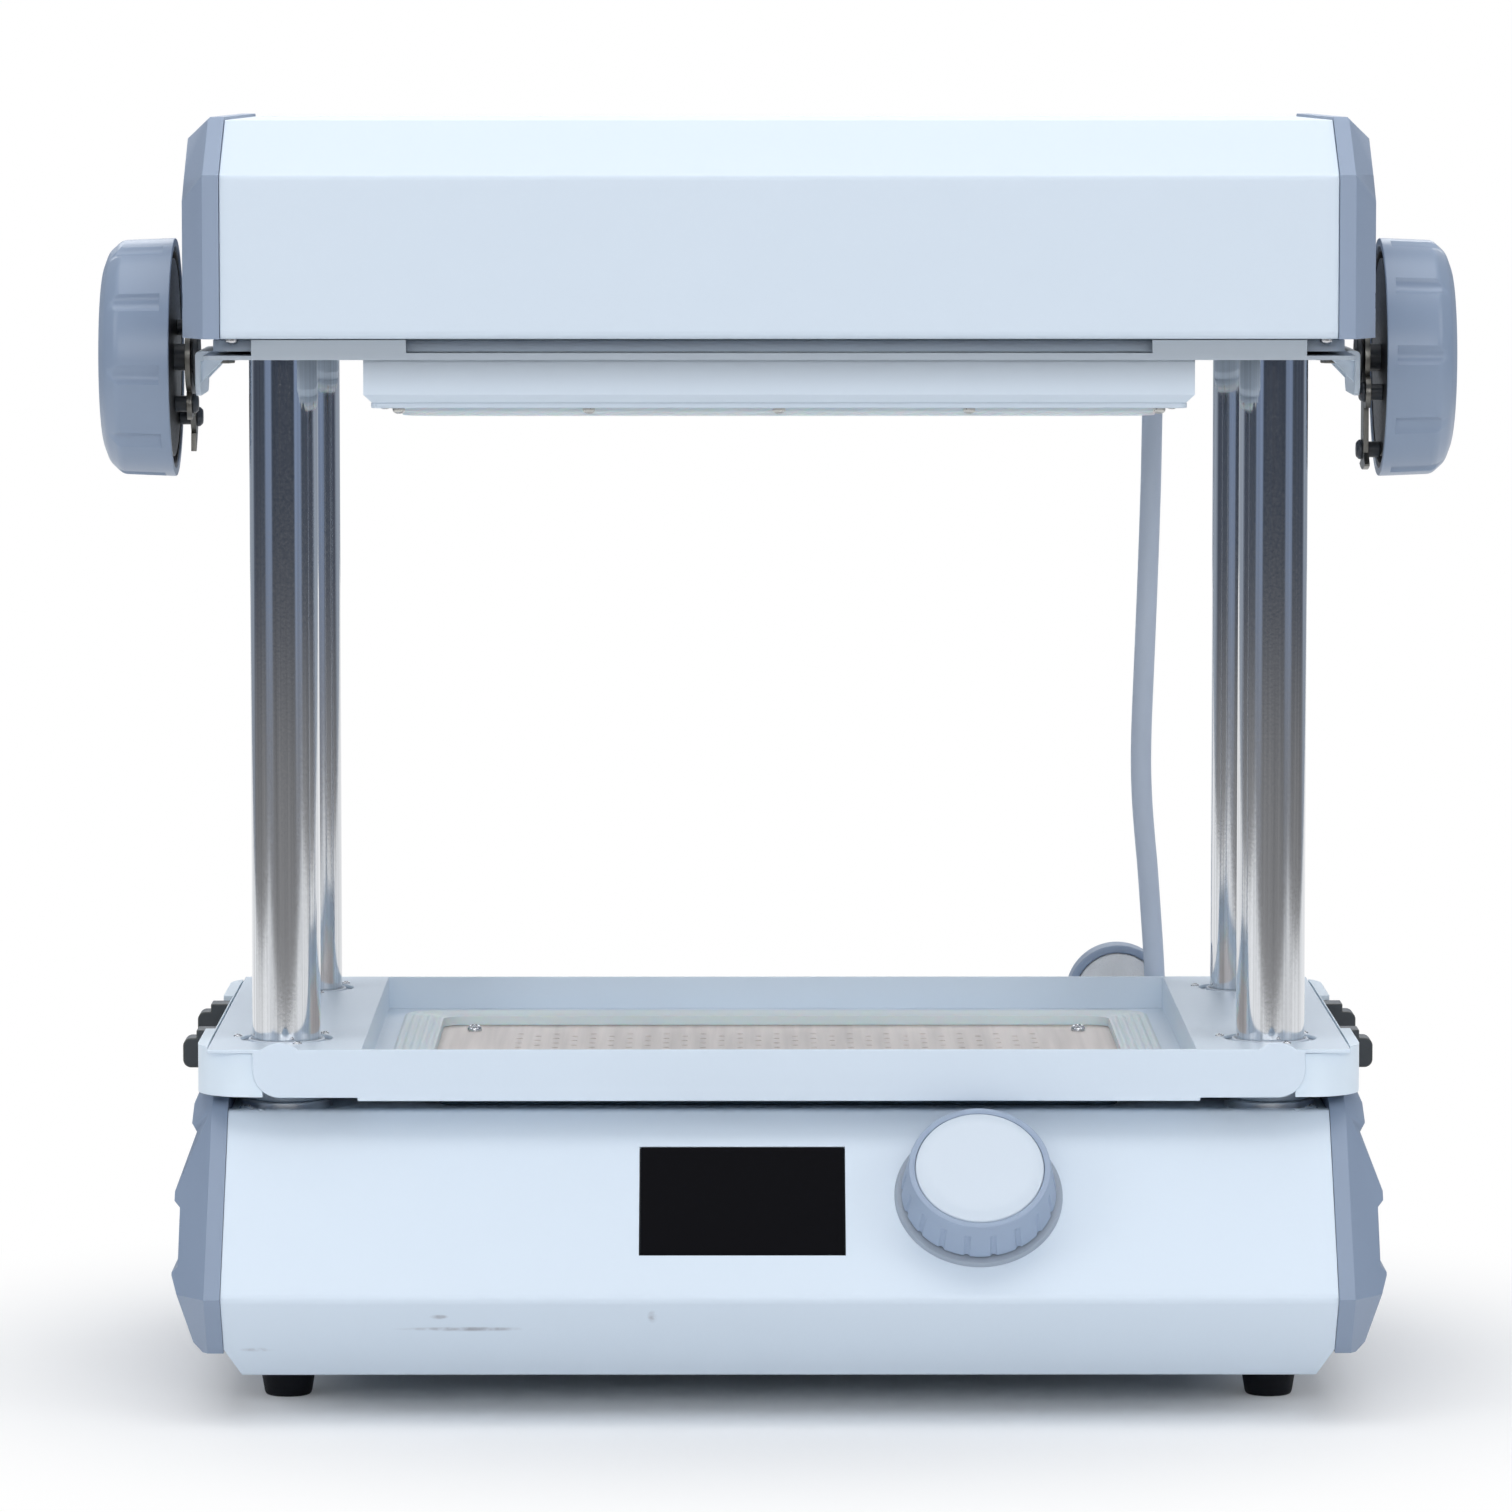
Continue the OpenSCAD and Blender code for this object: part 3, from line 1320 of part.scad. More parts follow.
// Mains inlet in the rear wall: frame, body, socket with its pins and the pocket of the switch
module mains_inlet() color(dark) translate([inlet_x, back_y, inlet_z]) {
    in = 2 * inlet_t + 2 * gap;
    pivot_half = switch_w / 2 + pivot_over + gap;
    difference() {
        union() {
            along_y(0, inlet_t) square([inlet_w, inlet_h], center = true);
            along_y(-inlet_body, over) square([inlet_w - in, inlet_h - in], center = true);
        }
        along_y(inlet_t - socket_depth, inlet_t + over) {
            translate([socket_x, 0]) square([socket_w, socket_h], center = true);
            translate([switch_x, 0]) square([switch_w + 2 * gap, switch_h + 2 * switch_room], center = true);
        }
        translate([0, inlet_t - pivot_in, 0])
            rod_x(switch_x - pivot_half, switch_x + pivot_half, pivot_d + 2 * run_gap);
    }
    along_y(-inlet_body + over, -pin_in) for (k = [-1:1])
        translate([socket_x + k * pin_pitch, k == 0 ? -pin_w / 2 : pin_w / 2])
            square([pin_t, pin_w], center = true);
}

// Rocker of the mains switch on its pivot
module power_switch() color([0.6, 0.1, 0.08])
    translate([inlet_x, back_y + inlet_t - pivot_in, inlet_z]) rotate([switch_turn, 0, 0]) {
        along_x(switch_x - switch_w / 2, switch_x + switch_w / 2) polygon([
            [-switch_t / 2, -switch_h / 2],
            [pivot_in + switch_rise, -switch_h / 2],
            [pivot_in, 0],
            [pivot_in + switch_rise, switch_h / 2],
            [-switch_t / 2, switch_h / 2]
        ]);
        rod_x(switch_x - switch_w / 2 - pivot_over, switch_x + switch_w / 2 + pivot_over, pivot_d);
    }

base_floor();
front_cover();
deck_plate();
rear_panel();
base_cap_left();
base_cap_right();
feet();
base_screws();
display_glass();
display_module();
knob_ring();
knob_encoder();
encoder_plunger();
knob_grip();
knob_face();
forming_table();
vacuum_box();
vacuum_pump();
control_board();
power_supply();
column_front_left();
column_front_right();
column_rear_left();
column_rear_right();
column_collars();
hood_cover();
hood_floor();
hood_cap_left();
hood_cap_right();
reflector();
heating_tubes();
hood_screws();
heater_cable();
cable_glands();
filter_cup();
filter_felt();
mains_inlet();
power_switch();
sheet_frame();
frame_skirts();
frame_seal();
frame_bushes();
lock_keepers();
carriage_plate();
retainer_ring();
clamp_gasket();
ring_screws();
carriage_bushes();
wheel_brackets();
bracket_nuts();
wheel_axles();
handwheel_left();
handwheel_right();
wheel_disc_left();
wheel_disc_right();
claw_left();
claw_right();
claw_posts_left();
claw_posts_right();
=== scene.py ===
import json
import math

import bmesh
import bpy
from mathutils import Matrix, Vector


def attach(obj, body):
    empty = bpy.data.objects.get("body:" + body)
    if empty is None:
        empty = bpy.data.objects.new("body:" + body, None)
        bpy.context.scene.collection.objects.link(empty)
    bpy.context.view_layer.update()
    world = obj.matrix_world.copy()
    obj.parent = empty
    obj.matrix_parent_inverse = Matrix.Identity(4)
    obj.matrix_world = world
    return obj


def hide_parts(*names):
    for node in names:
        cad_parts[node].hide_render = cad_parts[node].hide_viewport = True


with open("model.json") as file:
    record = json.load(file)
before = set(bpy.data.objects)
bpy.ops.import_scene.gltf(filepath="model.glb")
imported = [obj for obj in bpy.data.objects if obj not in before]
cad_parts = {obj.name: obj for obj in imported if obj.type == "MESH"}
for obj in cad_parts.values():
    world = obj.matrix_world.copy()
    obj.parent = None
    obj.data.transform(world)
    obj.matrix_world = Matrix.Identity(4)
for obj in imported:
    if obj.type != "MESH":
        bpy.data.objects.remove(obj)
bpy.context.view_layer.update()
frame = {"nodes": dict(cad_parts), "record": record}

nodes = frame["nodes"]
mm = 0.001
centreY = 4.5  # the middle of table and carriage in millimetres
print("frame loaded:", len(nodes), "nodes")

cameraSettings = {
    "location": (-0.01585, -2.9845, 0.488), "pitch": 85.03, "turn": -0.15, "lens": 190.48,
    "sensor": 36.0,
}


def newObject(name, data):
    thing = bpy.data.objects.new(name, data)
    bpy.context.scene.collection.objects.link(thing)
    return thing


def makeCamera(settings):
    data = bpy.data.cameras.new("camera")
    data.lens = settings["lens"]
    data.sensor_width = settings["sensor"]
    data.clip_start = 0.05
    data.clip_end = 60
    camera = newObject("camera", data)
    camera.location = settings["location"]
    camera.rotation_euler = (math.radians(settings["pitch"]), 0, math.radians(settings["turn"]))
    bpy.context.scene.camera = camera


def smoothShade(mesh, degrees):
    # edges sharper than the angle stay sharp
    mesh.shade_smooth()
    mesh.set_sharp_from_angle(angle=math.radians(degrees))


def addPiece(name, mesh, body, replaced=(), finish=None, smooth=None):
    if smooth is not None:
        smoothShade(mesh, smooth)
    piece = newObject(name, mesh)
    if finish is not None:
        mesh.materials.clear()
        mesh.materials.append(finishes[finish])
    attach(piece, body)
    if replaced:
        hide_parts(*replaced)
    return piece


def meshOf(build, name):
    mesh = bpy.data.meshes.new(name)
    build.to_mesh(mesh)
    build.free()
    return mesh


def ringsMesh(name, rings, closed=False):
    # a skin over rings of points; it ends in two caps, or joins the last ring to the first
    build = bmesh.new()
    verts = [[build.verts.new(point) for point in ring] for ring in rings]
    count = len(verts[0])
    for low, high in zip(verts, verts[1:] + verts[:1] if closed else verts[1:]):
        for k in range(count):
            build.faces.new((low[k], low[(k + 1) % count], high[(k + 1) % count], high[k]))
    if not closed:
        build.faces.new(verts[0])
        build.faces.new(verts[-1])
    bmesh.ops.recalc_face_normals(build, faces=build.faces)
    return meshOf(build, name)


makeCamera(cameraSettings)

cableSettings = {
    "diameter": 8.0,
    "sides": 20,
    "steps": 6,
    "y": 128.5,
    # x and z of the route in millimetres, from the hood down to the deck
    "route": [
        (147, 398), (147, 386), (147, 374), (146.8, 362), (146.5, 350), (146.1, 325), (145.4, 300),
        (144.6, 276), (143.7, 252), (142.9, 230), (142.7, 214), (143.2, 200), (144.2, 187),
        (145.4, 174), (146.6, 158), (147.6, 144), (148.3, 132), (148.5, 122), (148.5, 110), (148.5, 98),
    ],
}


def smoothRoute(points, steps):
    # a curve through all the points, with the end points doubled
    line = []
    padded = [points[0], *points, points[-1]]
    for a, b, c, d in zip(padded, padded[1:], padded[2:], padded[3:]):
        for k in range(steps):
            t = k / steps
            line.append(0.5 * ((2 * b) + (c - a) * t + (2 * a - 5 * b + 4 * c - d) * t * t
                               + (3 * b - a - 3 * c + d) * t ** 3))
    return [*line, points[-1]]


def makeHeaterCable(settings):
    points = [Vector((x * mm, settings["y"] * mm, z * mm)) for x, z in settings["route"]]
    line = smoothRoute(points, settings["steps"])
    sides = settings["sides"]
    radius = settings["diameter"] / 2 * mm
    rings = []
    for i, point in enumerate(line):
        along = (line[min(i + 1, len(line) - 1)] - line[max(i - 1, 0)]).normalized()
        across = along.cross(Vector((0, 1, 0))).normalized()
        up = across.cross(along)
        rings.append([point + radius * (across * math.cos(a) + up * math.sin(a))
                      for a in (2 * math.pi * k / sides for k in range(sides))])
    mesh = ringsMesh("heaterCable", rings)
    cable = addPiece("heaterCable", mesh, "base", ["heater_cable"], smooth=35)
    return cable


heaterCable = makeHeaterCable(cableSettings)
print("camera and heater cable made")

studioSettings = {
    "floorFront": -1.2,
    "floorBack": 4.5,
    "floorSide": 1.7,
    "floorColour": (0.9, 0.9, 0.9),
    "clearRadius": (0.15, 0.42),
    "surround": [
        # direction round the object in degrees from the front, and its colour
        (0, (0.09, 0.115, 0.17)), (36, (0.1, 0.13, 0.19)), (41, (0.55, 0.7, 1.0)), (61, (0.5, 0.64, 0.92)),
        (66, (0.14, 0.175, 0.24)), (114, (0.16, 0.19, 0.26)), (126, (0.75, 0.85, 1.0)), (180, (0.85, 0.93, 1.05)),
    ],
    "lowColour": (0.62, 0.61, 0.61),
    "lowHeight": (-0.066, -0.086),
    "lowShare": (0.75, 0.6),
    "skyColour": (0.72, 0.77, 0.84),
    "skyHeight": (0.25, 0.75),
    "worldStrength": 0.45,
    "lamps": [
        # name, place, size, watts
        ("overheadSoftbox", (0, -0.1, 2.2), (2.4, 1.7), 26.0),
        ("frontSoftbox", (0, -2.9, 1.05), (2.6, 0.8), 27.5),
        ("backSoftbox", (0, 2.4, 1.5), (2.6, 0.9), 18.0),
        ("leftSoftbox", (-2.2, -1.2, 1.4), (1.0, 1.2), 10.0),
        ("rightSoftbox", (2.2, -1.2, 1.4), (1.0, 1.2), 10.0),
    ],
}


def addNode(tree, kind, inputs=None, **values):
    # each input is given a socket, number, colour or vector; the nodes lie in rows of eight
    node = tree.nodes.new(kind)
    place = len(tree.nodes) - 1
    node.location = (220 * (place % 8), -260 * (place // 8))
    for key, value in values.items():
        setattr(node, key, value)
    for key, value in (inputs or {}).items():
        socket = node.inputs[key]
        if isinstance(value, bpy.types.NodeSocket):
            tree.links.new(value, socket)
        elif socket.type == "RGBA":
            socket.default_value = (*value[:3], 1)
        else:
            socket.default_value = value
    return node


def addMath(tree, operation, *terms, clamp=False):
    # the terms are sockets or numbers
    return addNode(tree, "ShaderNodeMath", dict(enumerate(terms)), operation=operation, use_clamp=clamp).outputs[0]


def addVector(tree, operation, *terms):
    # the terms are sockets or vectors
    node = addNode(tree, "ShaderNodeVectorMath", dict(enumerate(terms)), operation=operation)
    return node.outputs["Value" if operation in ("LENGTH", "DOT_PRODUCT") else "Vector"]


def addScaled(tree, vector, scale):
    return addNode(tree, "ShaderNodeVectorMath", {0: vector, "Scale": scale}, operation="SCALE").outputs["Vector"]


def addRange(tree, value, low, high, toLow=0.0, toHigh=1.0, kind="LINEAR"):
    inputs = {"Value": value, "From Min": low, "From Max": high, "To Min": toLow, "To Max": toHigh}
    return addNode(tree, "ShaderNodeMapRange", inputs, interpolation_type=kind).outputs["Result"]


def addMix(tree, share, a, b):
    # a and b are colour sockets or colours
    return addNode(tree, "ShaderNodeMix", {0: share, 6: a, 7: b}, data_type="RGBA").outputs[2]


def addNoise(tree, place, scale, detail):
    return addNode(tree, "ShaderNodeTexNoise", {"Vector": place, "Scale": scale, "Detail": detail}).outputs["Fac"]


def objectPlace(tree):
    return addNode(tree, "ShaderNodeTexCoord").outputs["Object"]


def makeWorld(settings):
    world = bpy.data.worlds.new("studio")
    bpy.context.scene.world = world
    world.use_nodes = True
    tree = world.node_tree
    tree.nodes.clear()
    # the room is dark where the camera stands, pale at the sides and behind, and pale above
    where = addNode(tree, "ShaderNodeTexCoord").outputs["Generated"]
    split = addNode(tree, "ShaderNodeSeparateXYZ", {0: where}).outputs
    side = addMath(tree, "ABSOLUTE", split["X"])
    turn = addMath(tree, "ARCTAN2", side, addMath(tree, "MULTIPLY", split["Y"], -1.0))
    share = addMath(tree, "DIVIDE", turn, math.pi)
    ramp = addNode(tree, "ShaderNodeValToRGB", {0: share})
    stops = settings["surround"]
    elements = ramp.color_ramp.elements
    while len(elements) < len(stops):
        elements.new(0.5)
    for element, (degrees, colour) in zip(elements, stops):
        element.position = degrees / 180
    for element, (degrees, colour) in zip(elements, stops):
        element.color = (*colour, 1)
    # below the horizon in front lies the floor, mid grey, as the lower part of the columns shows it
    low = addRange(tree, split["Z"], *settings["lowHeight"], kind="SMOOTHSTEP")
    near = addMath(tree, "MULTIPLY", low, addRange(tree, share, *settings["lowShare"]))
    room = addMix(tree, near, ramp.outputs[0], settings["lowColour"])
    high = addRange(tree, split["Z"], *settings["skyHeight"], kind="SMOOTHSTEP")
    light = addMix(tree, high, room, settings["skyColour"])
    lit = addNode(tree, "ShaderNodeBackground", {"Color": light, "Strength": settings["worldStrength"]})
    seen = addNode(tree, "ShaderNodeBackground", {"Color": (1, 1, 1)})
    path = addNode(tree, "ShaderNodeLightPath").outputs
    mix = addNode(tree, "ShaderNodeMixShader", {0: path["Is Camera Ray"], 1: lit.outputs[0], 2: seen.outputs[0]})
    addNode(tree, "ShaderNodeOutputWorld", {0: mix.outputs[0]})


def emptyMaterial(name):
    material = bpy.data.materials.new(name)
    material.use_nodes = True
    material.node_tree.nodes.clear()
    return material, material.node_tree


def makeFloor(settings):
    mesh = bpy.data.meshes.new("floor")
    side, front, back = settings["floorSide"], settings["floorFront"], settings["floorBack"]
    corners = [(-side, front, 0), (side, front, 0), (side, back, 0), (-side, back, 0)]
    mesh.from_pydata(corners, [], [(0, 1, 2, 3)])
    floor = newObject("floor", mesh)
    # paper that takes the shadow near the object and is plain white to the camera further out
    material, tree = emptyMaterial("studio floor")
    paper = addNode(tree, "ShaderNodeBsdfDiffuse", {"Color": settings["floorColour"]})
    white = addNode(tree, "ShaderNodeEmission", {"Color": (1, 1, 1)})
    path = addNode(tree, "ShaderNodeLightPath").outputs
    either = addMath(tree, "MAXIMUM", path["Is Camera Ray"], path["Is Glossy Ray"])
    seen = addMath(tree, "MAXIMUM", either, path["Is Transmission Ray"])
    fade = addRange(tree, addVector(tree, "LENGTH", objectPlace(tree)), *settings["clearRadius"], kind="SMOOTHSTEP")
    share = addMath(tree, "MULTIPLY", fade, seen)
    mix = addNode(tree, "ShaderNodeMixShader", {0: share, 1: paper.outputs[0], 2: white.outputs[0]})
    addNode(tree, "ShaderNodeOutputMaterial", {0: mix.outputs[0]})
    mesh.materials.append(material)


def makeLamps(settings):
    for name, place, size, watts in settings["lamps"]:
        data = bpy.data.lights.new(name, "AREA")
        data.shape = "RECTANGLE"
        data.size, data.size_y = size
        data.energy = watts
        lamp = newObject(name, data)
        lamp.location = place
        lamp.rotation_euler = (Vector((0, 0, 0.25)) - Vector(place)).to_track_quat("-Z", "Y").to_euler()
        lamp.visible_camera = False


makeWorld(studioSettings)
makeFloor(studioSettings)
makeLamps(studioSettings)
bpy.context.scene.view_settings.view_transform = "Standard"
print("studio made")


def newGroup(name, inputs, outputs):
    tree = bpy.data.node_groups.new(name, "ShaderNodeTree")
    for label, kind, value in inputs:
        tree.interface.new_socket(label, in_out="INPUT", socket_type="NodeSocket" + kind).default_value = value
    for label, kind in outputs:
        tree.interface.new_socket(label, in_out="OUTPUT", socket_type="NodeSocket" + kind)
    return tree, addNode(tree, "NodeGroupInput").outputs


def groupColourDrift():
    # slow change of shade over a surface
    tree, given = newGroup("colour drift", [
        ("Colour", "Color", (0.8, 0.8, 0.8, 1)), ("Scale", "Float", 8.0), ("Amount", "Float", 0.05),
    ], [("Colour", "Color")])
    centred = addMath(tree, "SUBTRACT", addNoise(tree, objectPlace(tree), given["Scale"], 3), 0.5)
    factor = addMath(tree, "ADD", addMath(tree, "MULTIPLY", centred, given["Amount"]), 1.0)
    addNode(tree, "NodeGroupOutput", {"Colour": addScaled(tree, given["Colour"], factor)})
    return tree


def groupGrain():
    # fine height of a moulded or powder coated surface
    tree, given = newGroup("fine grain", [("Scale", "Float", 900.0), ("Softness", "Float", 0.5)],
                           [("Height", "Float"), ("Mask", "Float")])
    where = objectPlace(tree)
    noise = addNoise(tree, where, given["Scale"], 2)
    cells = addNode(tree, "ShaderNodeTexVoronoi", {"Vector": where, "Scale": given["Scale"]}, feature="SMOOTH_F1")
    mix = addNode(tree, "ShaderNodeMix", {0: given["Softness"], 2: cells.outputs["Distance"], 3: noise})
    addNode(tree, "NodeGroupOutput", {"Height": mix.outputs[0], "Mask": noise})
    return tree


def groupEdges():
    # rounded normal along sharp edges and a mask of the edges
    tree, given = newGroup("edge mask and rounding", [("Radius", "Float", 0.0006), ("Sharpness", "Float", 14.0)],
                           [("Normal", "Vector"), ("Mask", "Float")])
    bevel = addNode(tree, "ShaderNodeBevel", {"Radius": given["Radius"]}, samples=4).outputs["Normal"]
    flat = addNode(tree, "ShaderNodeNewGeometry").outputs["True Normal"]
    away = addMath(tree, "SUBTRACT", 1.0, addVector(tree, "DOT_PRODUCT", bevel, flat))
    mask = addMath(tree, "MULTIPLY", away, given["Sharpness"], clamp=True)
    addNode(tree, "NodeGroupOutput", {"Normal": bevel, "Mask": mask})
    return tree


def groupStreaks():
    # lines that run along one axis: the stretch is how often they change along x, y and z
    tree, given = newGroup("streaks", [("Stretch", "Vector", (500, 500, 5)), ("Detail", "Float", 3.0)],
                           [("Value", "Float")])
    scaled = addVector(tree, "MULTIPLY", objectPlace(tree), given["Stretch"])
    addNode(tree, "NodeGroupOutput", {"Value": addNoise(tree, scaled, 1.0, given["Detail"])})
    return tree


def groupMark():
    # a worn patch: centre and half size of a box, broken up by noise
    tree, given = newGroup("rubbed mark", [
        ("Centre", "Vector", (0, 0, 0)), ("Size", "Vector", (0.03, 0.03, 0.01)), ("Breakup", "Float", 160.0),
    ], [("Mask", "Float")])
    where = objectPlace(tree)
    scaled = addVector(tree, "DIVIDE", addVector(tree, "SUBTRACT", where, given["Centre"]), given["Size"])
    near = addRange(tree, addVector(tree, "LENGTH", scaled), 1.0, 0.3, kind="SMOOTHSTEP")
    rough = addRange(tree, addNoise(tree, where, given["Breakup"], 4), 0.38, 0.6)
    addNode(tree, "NodeGroupOutput", {"Mask": addMath(tree, "MULTIPLY", near, rough)})
    return tree


driftGroup = groupColourDrift()
grainGroup = groupGrain()
edgeGroup = groupEdges()
streakGroup = groupStreaks()
markGroup = groupMark()


def useGroup(tree, group, **values):
    return addNode(tree, "ShaderNodeGroup", values, node_tree=group).outputs


finishSettings = {"grainSoftness": 0.6, "scatterScale": 0.003, "markColour": (0.4, 0.42, 0.46)}


def paint(name, colour, roughness, metallic=0.0, drift=0.05, driftScale=9.0, grainScale=900.0, grainDepth=0.00002,
          roughSpread=0.06, specular=0.5, scatter=0.0, streak=None, streakAmount=0.0, streakDepth=0.0, marks=(),
          dulled=None, worn=None):
    # colour drift, streaks, grain, rubbed marks, painted shade of the hood and painted sheen on the edges on one
    # shader
    material, tree = emptyMaterial(name)
    shade = useGroup(tree, driftGroup, Colour=colour, Scale=driftScale, Amount=drift)["Colour"]
    grain = useGroup(tree, grainGroup, Scale=grainScale, Softness=finishSettings["grainSoftness"])
    height, rough = grain["Height"], grain["Mask"]
    if streak:
        lines = useGroup(tree, streakGroup, Stretch=streak)["Value"]
        share = addRange(tree, lines, 0.35, 0.7)
        shade = addMix(tree, share, shade, tuple(c * (1 - streakAmount) for c in colour))
        rough = addMath(tree, "ADD", addMath(tree, "MULTIPLY", rough, 0.5), addMath(tree, "MULTIPLY", lines, 0.5))
        if streakDepth:
            height = addMath(tree, "ADD", height, addMath(tree, "MULTIPLY", lines, streakDepth / grainDepth))
    for centre, size in marks:
        mask = useGroup(tree, markGroup, Centre=centre, Size=size)["Mask"]
        shade = addMix(tree, mask, shade, finishSettings["markColour"])
    if dulled:
        # painted shade of the hood above, darker towards the top: from and to which height, and the share of the
        # colour that is left
        low, high, left = dulled
        upward = addNode(tree, "ShaderNodeSeparateXYZ", {0: objectPlace(tree)}).outputs["Z"]
        share = addRange(tree, upward, low, high, kind="SMOOTHSTEP")
        shade = addMix(tree, share, shade, tuple(c * left for c in colour))
    bump = {"Distance": grainDepth, "Height": height}
    if worn:
        # painted sheen on the edges: radius, colour and share of the edges
        radius, edgeColour, amount = worn
        edges = useGroup(tree, edgeGroup, Radius=radius)
        shade = addMix(tree, addMath(tree, "MULTIPLY", edges["Mask"], amount), shade, edgeColour)
        bump["Normal"] = edges["Normal"]
    low, high = max(roughness - roughSpread, 0.02), roughness + roughSpread
    shader = addNode(tree, "ShaderNodeBsdfPrincipled", {
        "Base Color": shade, "Metallic": metallic, "Specular IOR Level": specular,
        "Roughness": addRange(tree, rough, 0.25, 0.75, low, high),
        "Subsurface Weight": scatter, "Subsurface Scale": finishSettings["scatterScale"],
        "Normal": addNode(tree, "ShaderNodeBump", bump).outputs["Normal"],
    })
    addNode(tree, "ShaderNodeOutputMaterial", {0: shader.outputs[0]})
    return material


whitePaint = (0.72, 0.81, 0.9)
powder = {"drift": 0.02, "grainScale": 650}
moulded = {"drift": 0.03, "driftScale": 14, "grainScale": 1600}
finishes = {
    "white": paint("white powder coat", whitePaint, 0.36, **powder),
    "coverWhite": paint("white powder coat with rubbed marks", whitePaint, 0.36, **powder,
                        # centre and half size of each mark
                        marks=[((-0.112, -0.149, 0.0343), (0.03, 0.03, 0.0012)),
                               ((-0.0455, -0.15, 0.0395), (0.0022, 0.03, 0.003)),
                               ((-0.122, -0.15, 0.0395), (0.004, 0.03, 0.0012)),
                               ((-0.188, -0.147, 0.0255), (0.008, 0.03, 0.0013))]),
    "skirtWhite": paint("white powder coat of the skirts", (0.8, 0.9, 0.98), 0.36, **powder),
    # a touch darker than the other white, and darker still towards the top: painted shade of the hood above the
    # carriage
    "carriageWhite": paint("white powder coat of the carriage", (0.7, 0.785, 0.87), 0.38, **powder,
                           dulled=(0.367, 0.384, 0.58)),
    "ringWhite": paint("white clamp ring", (0.64, 0.72, 0.8), 0.4, drift=0.03),
    "panWhite": paint("enamel of the heater pan", (0.42, 0.49, 0.57), 0.45, drift=0.03),
    "greyBlue": paint("grey blue moulding", (0.295, 0.365, 0.485), 0.42, **moulded),
    "baseGrey": paint("grey blue moulding of the base", (0.26, 0.325, 0.435), 0.4, **moulded),
    "knobGrey": paint("grey blue moulding of the knob", (0.35, 0.43, 0.56), 0.45, drift=0.03, driftScale=30,
                      grainScale=1800),
    "wheelGrey": paint("grey blue moulding of the handwheels", (0.275, 0.345, 0.46), 0.34, drift=0.02,
                       driftScale=20, grainScale=1800),
    "ringGrey": paint("grey ring under the knob", (0.36, 0.415, 0.49), 0.4, drift=0.02),
    "columnSteel": paint("polished column", (0.74, 0.76, 0.79), 0.1, metallic=1.0, drift=0.03, grainDepth=0.000004,
                         roughSpread=0.04, streak=(900, 900, 3), streakAmount=0.22, streakDepth=0.000003),
    "plated": paint("zinc plated steel", (0.62, 0.62, 0.6), 0.3, metallic=1.0, drift=0.1),
    "chrome": paint("bright screw steel", (0.66, 0.67, 0.69), 0.25, metallic=1.0, drift=0.05),
    "darkSteel": paint("browned steel", (0.2, 0.195, 0.18), 0.36, metallic=1.0, drift=0.2, driftScale=60),
    "postGrey": paint("dark spacer posts", (0.05, 0.058, 0.07), 0.38, drift=0.15, driftScale=60),
    "blackPlastic": paint("black moulding", (0.014, 0.015, 0.018), 0.42, drift=0.1, specular=0.3),
    # the olive on the edges of the dark keeper is painted sheen
    "keeperPlastic": paint("dark keeper", (0.04, 0.047, 0.054), 0.34, drift=0.25, driftScale=45,
                           worn=(0.0005, (0.16, 0.16, 0.12), 0.5)),
    "rubber": paint("black rubber", (0.006, 0.007, 0.01), 0.6, drift=0.1, specular=0.2),
    "silicone": paint("pale silicone", (0.74, 0.81, 0.83), 0.5, drift=0.04, scatter=0.3, specular=0.4),
    # the lighter edges of the glass are painted sheen
    "glass": paint("display glass", (0.002, 0.002, 0.0035), 0.2, drift=0.0, grainDepth=0.000001, specular=0.03,
                   worn=(0.0003, (0.02, 0.022, 0.028), 0.5)),
    "whitePlastic": paint("white knob face", (0.68, 0.755, 0.835), 0.34, drift=0.01),
    "laminate": paint("table laminate", (0.83, 0.74, 0.69), 0.5, drift=0.05, driftScale=20, streak=(180, 5, 20),
                      streakAmount=0.2, grainDepth=0.00004, grainScale=500),
    "bushWhite": paint("pale bush moulding", (0.6, 0.66, 0.73), 0.4, drift=0.03),
    "aluminium": paint("aluminium", (0.7, 0.72, 0.74), 0.35, metallic=1.0),
    "boxGrey": paint("grey vacuum box", (0.1, 0.145, 0.185), 0.5, drift=0.1),
    "board": paint("circuit board", (0.02, 0.12, 0.05), 0.4),
    "reflector": paint("reflector sheet", (0.85, 0.85, 0.84), 0.2, metallic=1.0),
    "ceramic": paint("ceramic", (0.75, 0.72, 0.66), 0.4),
    "sheath": paint("cable sheath", (0.56, 0.63, 0.74), 0.5, drift=0.05, driftScale=30, specular=0.35),
    "felt": paint("filter felt", (0.88, 0.88, 0.88), 0.95, drift=0.14, driftScale=120, grainScale=1500,
                  grainDepth=0.0005, specular=0.1),
    "red": paint("red rocker", (0.45, 0.02, 0.015), 0.35),
}
heaterCable.data.materials.append(finishes["sheath"])
print("finishes made")


def evaluatedMesh(piece, name):
    # the result of the live modifiers as a plain mesh; the carrier is removed
    bpy.context.view_layer.update()
    graph = bpy.context.evaluated_depsgraph_get()
    mesh = bpy.data.meshes.new_from_object(piece.evaluated_get(graph), preserve_all_data_layers=True,
                                           depsgraph=graph)
    mesh.name = name
    bpy.data.objects.remove(piece)
    return mesh


def stretch(value, stops):
    # straight pieces between pairs of the old and the new place, the same on both sides of zero
    size = abs(value)
    for (a, b), (c, d) in zip(stops, stops[1:]):
        if size <= c:
            return math.copysign(b + (size - a) * (d - b) / (c - a), value)
    return math.copysign(size + stops[-1][1] - stops[-1][0], value)


